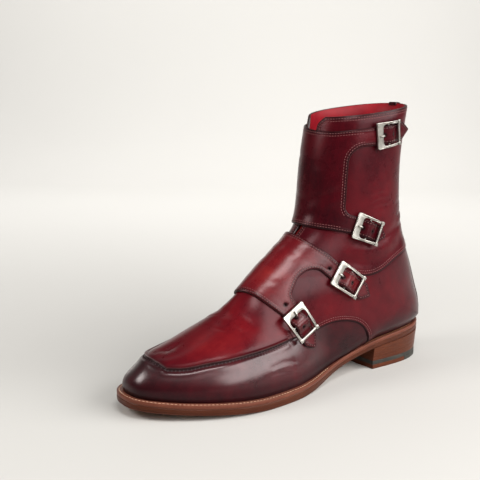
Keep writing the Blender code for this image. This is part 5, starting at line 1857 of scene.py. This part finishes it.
# -------- finishes
class Value:
    """A number or a colour inside a finish, so that shader maths reads as an expression."""

    def __init__(self, finish, socket):
        self.finish, self.socket = finish, socket

    def maths(self, operation, *values, clamp=False):
        settings = {"operation": operation, "use_clamp": clamp}
        return self.finish.node("ShaderNodeMath", settings, dict(enumerate(values)))

    __add__ = __radd__ = lambda self, other: self.maths("ADD", self, other)
    __mul__ = __rmul__ = lambda self, other: self.maths("MULTIPLY", self, other)
    __sub__ = lambda self, other: self.maths("SUBTRACT", self, other)
    __rsub__ = lambda self, other: self.maths("SUBTRACT", other, self)

    def within(self):
        return self.maths("ADD", self, 0.0, clamp=True)

    def ease(self, low, high):
        """0 below low, 1 above high and smooth between."""
        inputs = {"Value": self, "From Min": low, "From Max": high}
        return self.finish.node("ShaderNodeMapRange", {"interpolation_type": "SMOOTHSTEP"}, inputs)


class Finish:
    """One material: a Principled shader and the nodes that feed it."""

    def __init__(self, name, **constants):
        self.material = bpy.data.materials.new(name)
        self.material.use_nodes = True
        self.tree = self.material.node_tree
        self.shader = self.tree.nodes["Principled BSDF"]
        for socket, value in constants.items():
            self.shader.inputs[socket.replace("_", " ")].default_value = value

    def node(self, kind, settings=None, inputs=None, output=0):
        made = self.tree.nodes.new(kind)
        for name, value in (settings or {}).items():
            if name == "stops":
                for _ in value[2:]:
                    made.color_ramp.elements.new(0.5)
                for element, (place, colour) in zip(made.color_ramp.elements, value):
                    element.position, element.color = place, (*colour, 1)
            else:
                setattr(made, name, value)
        for name, value in (inputs or {}).items():
            if isinstance(value, Value):
                self.tree.links.new(value.socket, made.inputs[name])
            else:
                made.inputs[name].default_value = value
        return Value(self, made.outputs[output])

    def place(self, scale=(1, 1, 1), turn=(0, 0, 0)):
        """Where we are on the piece, in metres, stretched and turned for a pattern."""
        here = self.node("ShaderNodeTexCoord", output="Object")
        return self.node("ShaderNodeMapping", {}, {"Vector": here, "Rotation": turn, "Scale": scale})

    def noise(self, scale, detail=3.0, roughness=0.55, at=None, distortion=0.0):
        inputs = {"Scale": scale, "Detail": detail, "Roughness": roughness, "Distortion": distortion}
        inputs["Vector"] = at or self.place()
        return self.node("ShaderNodeTexNoise", {}, inputs)

    def cells(self, scale):
        return self.node("ShaderNodeTexVoronoi", {"feature": "F1"}, {"Scale": scale, "Vector": self.place()})

    def attribute(self, name):
        return self.node("ShaderNodeAttribute", {"attribute_name": name}, output="Fac")

    def ramp(self, value, stops):
        return self.node("ShaderNodeValToRGB", {"stops": stops}, {"Fac": value})

    def mix(self, share, first, second):
        """Two colours mixed."""
        first, second = (value if isinstance(value, Value) else (*value, 1) for value in (first, second))
        return self.node("ShaderNodeMix", {"data_type": "RGBA"}, {0: share, 6: first, 7: second}, output=2)

    def relief(self, height, distance, under=None):
        inputs = {"Strength": 1.0, "Distance": distance, "Height": height}
        if under is not None:
            inputs["Normal"] = under
        return self.node("ShaderNodeBump", {}, inputs)

    def set(self, **sockets):
        for name, value in sockets.items():
            self.tree.links.new(value.socket, self.shader.inputs[name.replace("_", " ")])
        return self.material


LEATHER_STOPS = (
    (0.0, (0.009, 0.0016, 0.0025)),
    (0.16, (0.022, 0.0018, 0.0036)),
    (0.34, (0.045, 0.0018, 0.0044)),
    (0.54, (0.078, 0.0022, 0.0054)),
    (0.76, (0.128, 0.004, 0.0068)),
    (1.0, (0.2, 0.012, 0.011)),
)
# The pale colour below is laid on rubbed ridges and as painted highlight on edges; the dark one as painted
# shade in grooves, under laps and along stitch rows, and as the dark band along edges.
PALE_RUB_AND_HIGHLIGHT = (0.4, 0.19, 0.16)
DARK_SHADE_AND_EDGE = (0.01, 0.0022, 0.003)
WAX_TINT = (1.0, 0.6, 0.64, 1.0)


def dyed_leather(name, gloss=0.3, streak=(0, 0, 0), dark_edge=0.5):
    """Hand-dyed calf: clouds of burgundy and plum over red, darker at its edges, with pores and creases, and
    painted shade and highlights at its seams and stitch rows.
    """
    finish = Finish(name, Specular_IOR_Level=0.15, Specular_Tint=WAX_TINT, Coat_Roughness=0.26, Coat_IOR=1.5)
    glow, rim, wear = finish.attribute("glow"), finish.attribute("rim"), finish.attribute("wear")
    clouds = finish.noise(22.0, 4.0, 0.55, distortion=0.6)
    mottle = finish.noise(140.0, 3.0, 0.62)
    brushed = finish.noise(60.0, 4.0, 0.7, at=finish.place((1, 5, 1), streak))
    fine = finish.noise(900.0, 2.0, 0.6)
    scratches = finish.noise(210.0, 3.0, 0.75, at=finish.place((0.35, 4.5, 1.3), (0.2, 0.4, 0.9)))
    tone = glow + (clouds - 0.5) * 0.56 + (mottle - 0.5) * 0.2 + (brushed - 0.5) * 0.26 + (fine - 0.5) * 0.10
    edge = 1 - rim.ease(0.0002, 0.0042)
    tone = tone - edge * dark_edge * 0.30
    colour = finish.ramp(tone.within(), LEATHER_STOPS)
    rubbed = scratches.ease(0.66, 0.8) * glow.ease(0.35, 0.9) * 0.30
    colour = finish.mix(rubbed, colour, (0.34, 0.06, 0.05))
    # Dark below zero of the seam attribute: painted shade in the apron's groove, under lapped edges and along
    # stitch rows. Pale above zero: the apron ridge, rubbed and painted with a highlight, and painted
    # highlights on lapped edges.
    painted_shade = ((wear * -1) * (0.75 + mottle * 0.5)).within()
    colour = finish.mix(painted_shade * 0.86, colour, DARK_SHADE_AND_EDGE)
    colour = finish.mix((wear * (mottle * 1.3)).within() * 0.6, colour, PALE_RUB_AND_HIGHLIGHT)
    sunk = rim.ease(0.0008, 0.0014) * (1 - rim.ease(0.002, 0.0028))
    colour = finish.mix(sunk * 0.85, colour, DARK_SHADE_AND_EDGE)
    edge_line = (1 - rim.ease(0.00015, 0.0008)) * 0.85
    colour = finish.mix(edge_line, colour, (0.012, 0.004, 0.004))
    rough = gloss + (clouds - 0.5) * 0.16 + (mottle - 0.5) * 0.1
    rough = rough + scratches.ease(0.55, 0.8) * 0.03 + painted_shade * 0.25
    pores = finish.cells(1500.0).ease(0.05, 0.42)
    grain = finish.noise(620.0, 3.0, 0.6)
    wrinkle = finish.noise(260.0, 4.0, 0.65, at=finish.place((1, 1, 3.4)), distortion=0.4)
    broad = finish.noise(48.0, 2.0, 0.5)
    surface = pores * 0.15 + grain * 0.35 + wrinkle * 0.8
    normal = finish.relief(broad, 0.00022)
    normal = finish.relief(surface, 0.00006, normal)
    waxed = 0.86 + (clouds - 0.5) * 0.5 + (mottle - 0.5) * 0.3
    coat = finish.attribute("polish") * waxed * (1 - edge * 0.75) - painted_shade * 0.3
    return finish.set(Base_Color=colour, Roughness=rough.within(), Coat_Weight=coat.within(), Normal=normal)


def mottled(name, specular, clouds, share, dark, light, rough, vary, grain=None, deep=0.0):
    """Two colours in soft clouds, their roughness varied with them, and a grain in relief; where no grain is
    given the clouds are in relief themselves."""
    finish = Finish(name, Specular_IOR_Level=specular)
    cloud = finish.noise(*clouds)
    colour = finish.mix(cloud.ease(*share) if share else cloud, dark, light)
    sockets = {"Base_Color": colour, "Roughness": rough + (cloud - 0.5) * vary}
    if deep:
        sockets["Normal"] = finish.relief(finish.noise(*grain) if grain else cloud, deep)
    return finish.set(**sockets)


def thread(name, dark, light):
    """Waxed thread, its twist showing."""
    finish = Finish(name, Specular_IOR_Level=0.4)
    twist = finish.noise(2600.0, 1.0, at=finish.place((1, 1, 1), (0.5, 0.3, 0.7)))
    soil = finish.noise(90.0, 2.0)
    colour = finish.mix((twist * 0.7 + soil * 0.5 - 0.1).within(), dark, light)
    rough = 0.55 + (soil - 0.5) * 0.2
    return finish.set(Base_Color=colour, Roughness=rough, Normal=finish.relief(twist, 0.0001))


def buckle_metal():
    """Nickel plate, brushed and a little rubbed."""
    finish = Finish("nickel_plate", Metallic=1.0)
    brush = finish.noise(300.0, 2.0, 0.6, at=finish.place((1, 1, 5), (0.4, 0.2, 0.6)))
    tarnish = finish.noise(120.0, 3.0, 0.6)
    colour = finish.mix(tarnish.ease(0.42, 0.74), (0.43, 0.412, 0.378), (0.21, 0.198, 0.176))
    rough = 0.27 + brush * 0.06 + tarnish.ease(0.45, 0.8) * 0.10
    return finish.set(Base_Color=colour, Roughness=rough, Normal=finish.relief(brush, 0.000006))


def sole_edge(name, pale, deep, layers=0.0):
    """Waxed and burnished cut leather, its fibres along it, with lines between lifts as thick as layers."""
    finish = Finish(name, Specular_IOR_Level=0.16, Specular_Tint=(1.0, 0.8, 0.68, 1.0))
    fibre = finish.noise(130.0, 4.0, 0.62, at=finish.place((0.5, 0.5, 7)))
    patches = finish.noise(55.0, 3.0, 0.6)
    specks = finish.noise(700.0, 2.0, 0.6, at=finish.place((0.6, 0.6, 2.2)))
    share = fibre * 0.75 + (patches - 0.5) * 0.9 + (specks - 0.5) * 0.35 + 0.12
    between = tuple((a + b) / 2 for a, b in zip(pale, deep))
    colour = finish.ramp(share.within(), ((0.15, deep), (0.55, between), (0.9, pale)))
    height = fibre * 0.8 + specks * 0.4
    if layers:
        here = finish.node("ShaderNodeSeparateXYZ", {}, {"Vector": finish.place()}, output="Z")
        turn = here * (2 * math.pi / layers) + patches * 1.2
        lines = turn.maths("SINE", turn).ease(0.86, 0.99)
        colour = finish.mix(lines * 0.25, colour, tuple(value * 0.35 for value in deep))
        height = height - lines * 0.4
    rough = 0.36 + (patches - 0.5) * 0.2 + (fibre - 0.5) * 0.1
    return finish.set(Base_Color=colour, Roughness=rough, Normal=finish.relief(height, 0.0001))


TREAD_STOPS = ((0.3, (0.15, 0.052, 0.022)), (0.55, (0.27, 0.115, 0.052)), (0.78, (0.36, 0.175, 0.085)))


def sole_under():
    """The tread: oak-bark leather, buffed, with a few marks."""
    finish = Finish("tread_leather", Specular_IOR_Level=0.4)
    patches = finish.noise(24.0, 4.0, 0.6)
    fibre = finish.noise(260.0, 4.0, 0.7, at=finish.place((0.35, 1.6, 1)))
    specks = finish.noise(900.0, 2.0)
    share = patches * 0.6 + fibre * 0.35 + specks * 0.15
    colour = finish.ramp(share, TREAD_STOPS)
    rough = 0.42 + (patches - 0.5) * 0.25
    height = fibre * 0.6 + specks * 0.5
    return finish.set(Base_Color=colour, Roughness=rough, Normal=finish.relief(height, 0.00009))


# name, specular, clouds, their share, dark, light, roughness, how it varies, grain and its depth
RED_LINING = (
    "red_lining", 0.16, (40.0, 3.0), (0.25, 0.75), (0.185, 0.004, 0.01), (0.3, 0.008, 0.015), 0.5, 0.15,
    (700.0, 3.0, 0.6), 0.00006,
)
EDGE_PAINT = (
    "edge_paint", 0.5, (300.0, 3.0), (0.3, 0.75), (0.014, 0.0045, 0.005), (0.05, 0.012, 0.012), 0.42, 0.2,
    None, 0.00008,
)
BLACK_RUBBER = (
    "heel_rubber", 0.4, (80.0, 4.0, 0.65), (0.35, 0.8), (0.016, 0.015, 0.012), (0.05, 0.046, 0.036), 0.55,
    0.2, (1100.0, 2.0), 0.00008,
)
INSOLE_SOCK = (
    "insole_sock", 0.3, (30.0, 4.0, 0.6), (0.25, 0.75), (0.3, 0.13, 0.06), (0.44, 0.22, 0.115), 0.6, 0.15,
    (500.0, 3.0), 0.0001,
)
STUDIO_FLOOR = ("studio_floor", 0.15, (3.0, 2.0), None, (0.545, 0.536, 0.514), (0.56, 0.551, 0.528), 0.7, 0.1)


# -------- studio
CAMERA_PLACE = (0.4543, 0.5476, 0.2518)
CAMERA_YAW, CAMERA_PITCH, CAMERA_ROLL = -126.591, -10.473, 0.361     # degrees
LENS = 64.8             # in millimetres, on a sensor 36 mm wide
FLOOR_REACH, SWEEP_RADIUS, WALL_HEIGHT = 1.3, 0.7, 0.85
LIGHTS = [      # name, place, aim, width, height, power, spread in degrees and colour
    ("side_softbox", (-0.48, 0.96, 0.65), (0.0, 0.03, 0.06), 1.65, 0.82, 28.0, 180, (1.0, 0.985, 0.97)),
    ("overhead", (0.29, 0.52, 1.01), (0.06, 0.02, 0.06), 0.46, 0.28, 5.7, 180, (1.0, 0.985, 0.97)),
    ("toe_box", (0.83, -0.27, 0.65), (0.12, 0.0, 0.03), 0.42, 0.32, 5.2, 180, (1.0, 0.98, 0.95)),
    ("floor_wash", (-0.2, -1.0, 0.95), (-0.21, -1.02, 0.0), 2.4, 1.2, 5.6, 85, (1.0, 0.99, 0.98)),
    ("wall_wash", (-0.46, -0.64, 1.7), (-1.16, -1.54, 1.18), 2.6, 0.6, 47.0, 180, (1.0, 0.99, 0.98)),
]
SKY = (0.93, 0.92, 0.895)
SKY_STRENGTH = 0.12


def make_camera():
    data = bpy.data.cameras.new("camera")
    data.lens, data.sensor_width, data.clip_start = LENS, 36.0, 0.01
    camera = placed("camera", data)
    camera.matrix_world = Matrix.Translation(CAMERA_PLACE)
    for angle, axis in ((CAMERA_YAW - 90, "Z"), (CAMERA_PITCH + 90, "X"), (CAMERA_ROLL, "Z")):
        camera.matrix_world = camera.matrix_world @ Matrix.Rotation(math.radians(angle), 4, axis)
    bpy.context.scene.camera = camera


def make_floor():
    """A floor that sweeps up into a wall behind the boot, square to the camera."""
    profile = [(-3.0, 0.0), (-0.4, 0.0), (0.6, 0.0), (FLOOR_REACH, 0.0)]
    for turn in np.linspace(0, np.pi / 2, 17)[1:]:
        profile.append((FLOOR_REACH + SWEEP_RADIUS * math.sin(turn), SWEEP_RADIUS * (1 - math.cos(turn))))
    profile.append((FLOOR_REACH + SWEEP_RADIUS, WALL_HEIGHT))
    yaw = math.radians(CAMERA_YAW)
    ahead, aside = np.array([math.cos(yaw), math.sin(yaw)]), np.array([-math.sin(yaw), math.cos(yaw)])
    columns = np.linspace(-3.5, 3.5, 9)
    points = [(*(ahead * reach + aside * off), height) for reach, height in profile for off in columns]
    faces = [face[::-1] for face in quads(len(profile), len(columns))]
    mesh = plain_mesh("floor", points, faces, (mottled(*STUDIO_FLOOR),))
    mesh.shade_smooth()
    placed("floor", mesh)


def make_lights():
    for name, place, aim, width, height, power, spread, colour in LIGHTS:
        data = bpy.data.lights.new(name, "AREA")
        data.shape = "RECTANGLE"
        data.size, data.size_y = width, height
        data.energy = power
        data.spread = math.radians(spread)
        data.color = colour
        light = placed(name, data)
        light.location = place
        light.visible_camera = False
        light.rotation_euler = (Vector(aim) - Vector(place)).to_track_quat("-Z", "Y").to_euler()
    world = bpy.data.worlds.new("studio")
    bpy.context.scene.world = world
    world.use_nodes = True
    background = world.node_tree.nodes["Background"]
    background.inputs["Color"].default_value = (*SKY, 1)
    background.inputs["Strength"].default_value = SKY_STRENGTH


def main():
    make_camera()
    make_floor()
    make_lights()
    upper_leather = dyed_leather("dyed_upper", 0.3)
    strap_leather = dyed_leather("dyed_straps", 0.28, (0, 0, 0.6), 0.7)
    tongue_leather = dyed_leather("dyed_tongue", 0.36)
    lining, paint = mottled(*RED_LINING), mottled(*EDGE_PAINT)
    stack = sole_edge("heel_stack", (0.12, 0.031, 0.013), (0.056, 0.014, 0.0065), layers=0.0036)
    edge = sole_edge("sole_edge", (0.096, 0.025, 0.012), (0.046, 0.012, 0.0062))
    welt = sole_edge("welt", (0.175, 0.056, 0.034), (0.095, 0.027, 0.017))
    tread, rubber, metal = sole_under(), mottled(*BLACK_RUBBER), buckle_metal()
    dark_thread = thread("burgundy_thread", (0.08, 0.016, 0.019), (0.25, 0.082, 0.078))
    hand_thread = thread("dark_thread", (0.012, 0.003, 0.004), (0.045, 0.012, 0.013))
    pale_thread = thread("welt_thread", (0.42, 0.22, 0.12), (0.8, 0.55, 0.38))
    upper = make_upper(upper_leather, lining, paint)
    cuts = make_flaps(strap_leather, tongue_leather, paint)
    backstay_lines = make_backstay(upper_leather, paint)
    make_tab(upper_leather, paint)
    make_outsole(edge, tread)
    make_welt(welt)
    make_insole(mottled(*INSOLE_SOCK))
    make_heel(stack, rubber, tread)
    for index, strap in enumerate(STRAPS, start=1):
        make_buckle(index, strap, metal)
        make_prong(index, strap, metal)
    tree = stitch_tree()
    burgundy = "burgundy_leather"
    stitches("upper_stitches", tree, upper_stitches(upper), STITCH, dark_thread, burgundy)
    stitches("backstay_stitches", tree, backstay_lines, STITCH, dark_thread, burgundy)
    for cut in cuts:
        stitches(cut.name + "_stitches", tree, cut.stitch_lines(), STITCH, dark_thread, "strap_leather")
    stitches("apron_stitches", tree, hand_stitches(upper), HAND_SIZES, hand_thread, burgundy, crosswise=True)
    stitches("welt_stitches", tree, welt_lines(), WELT_STITCH, pale_thread, "sole_leather")
    stitches("sole_stitches", tree, sole_lines(), WELT_STITCH, pale_thread, "sole_leather")
    bpy.context.scene.view_settings.view_transform = "Standard"


main()
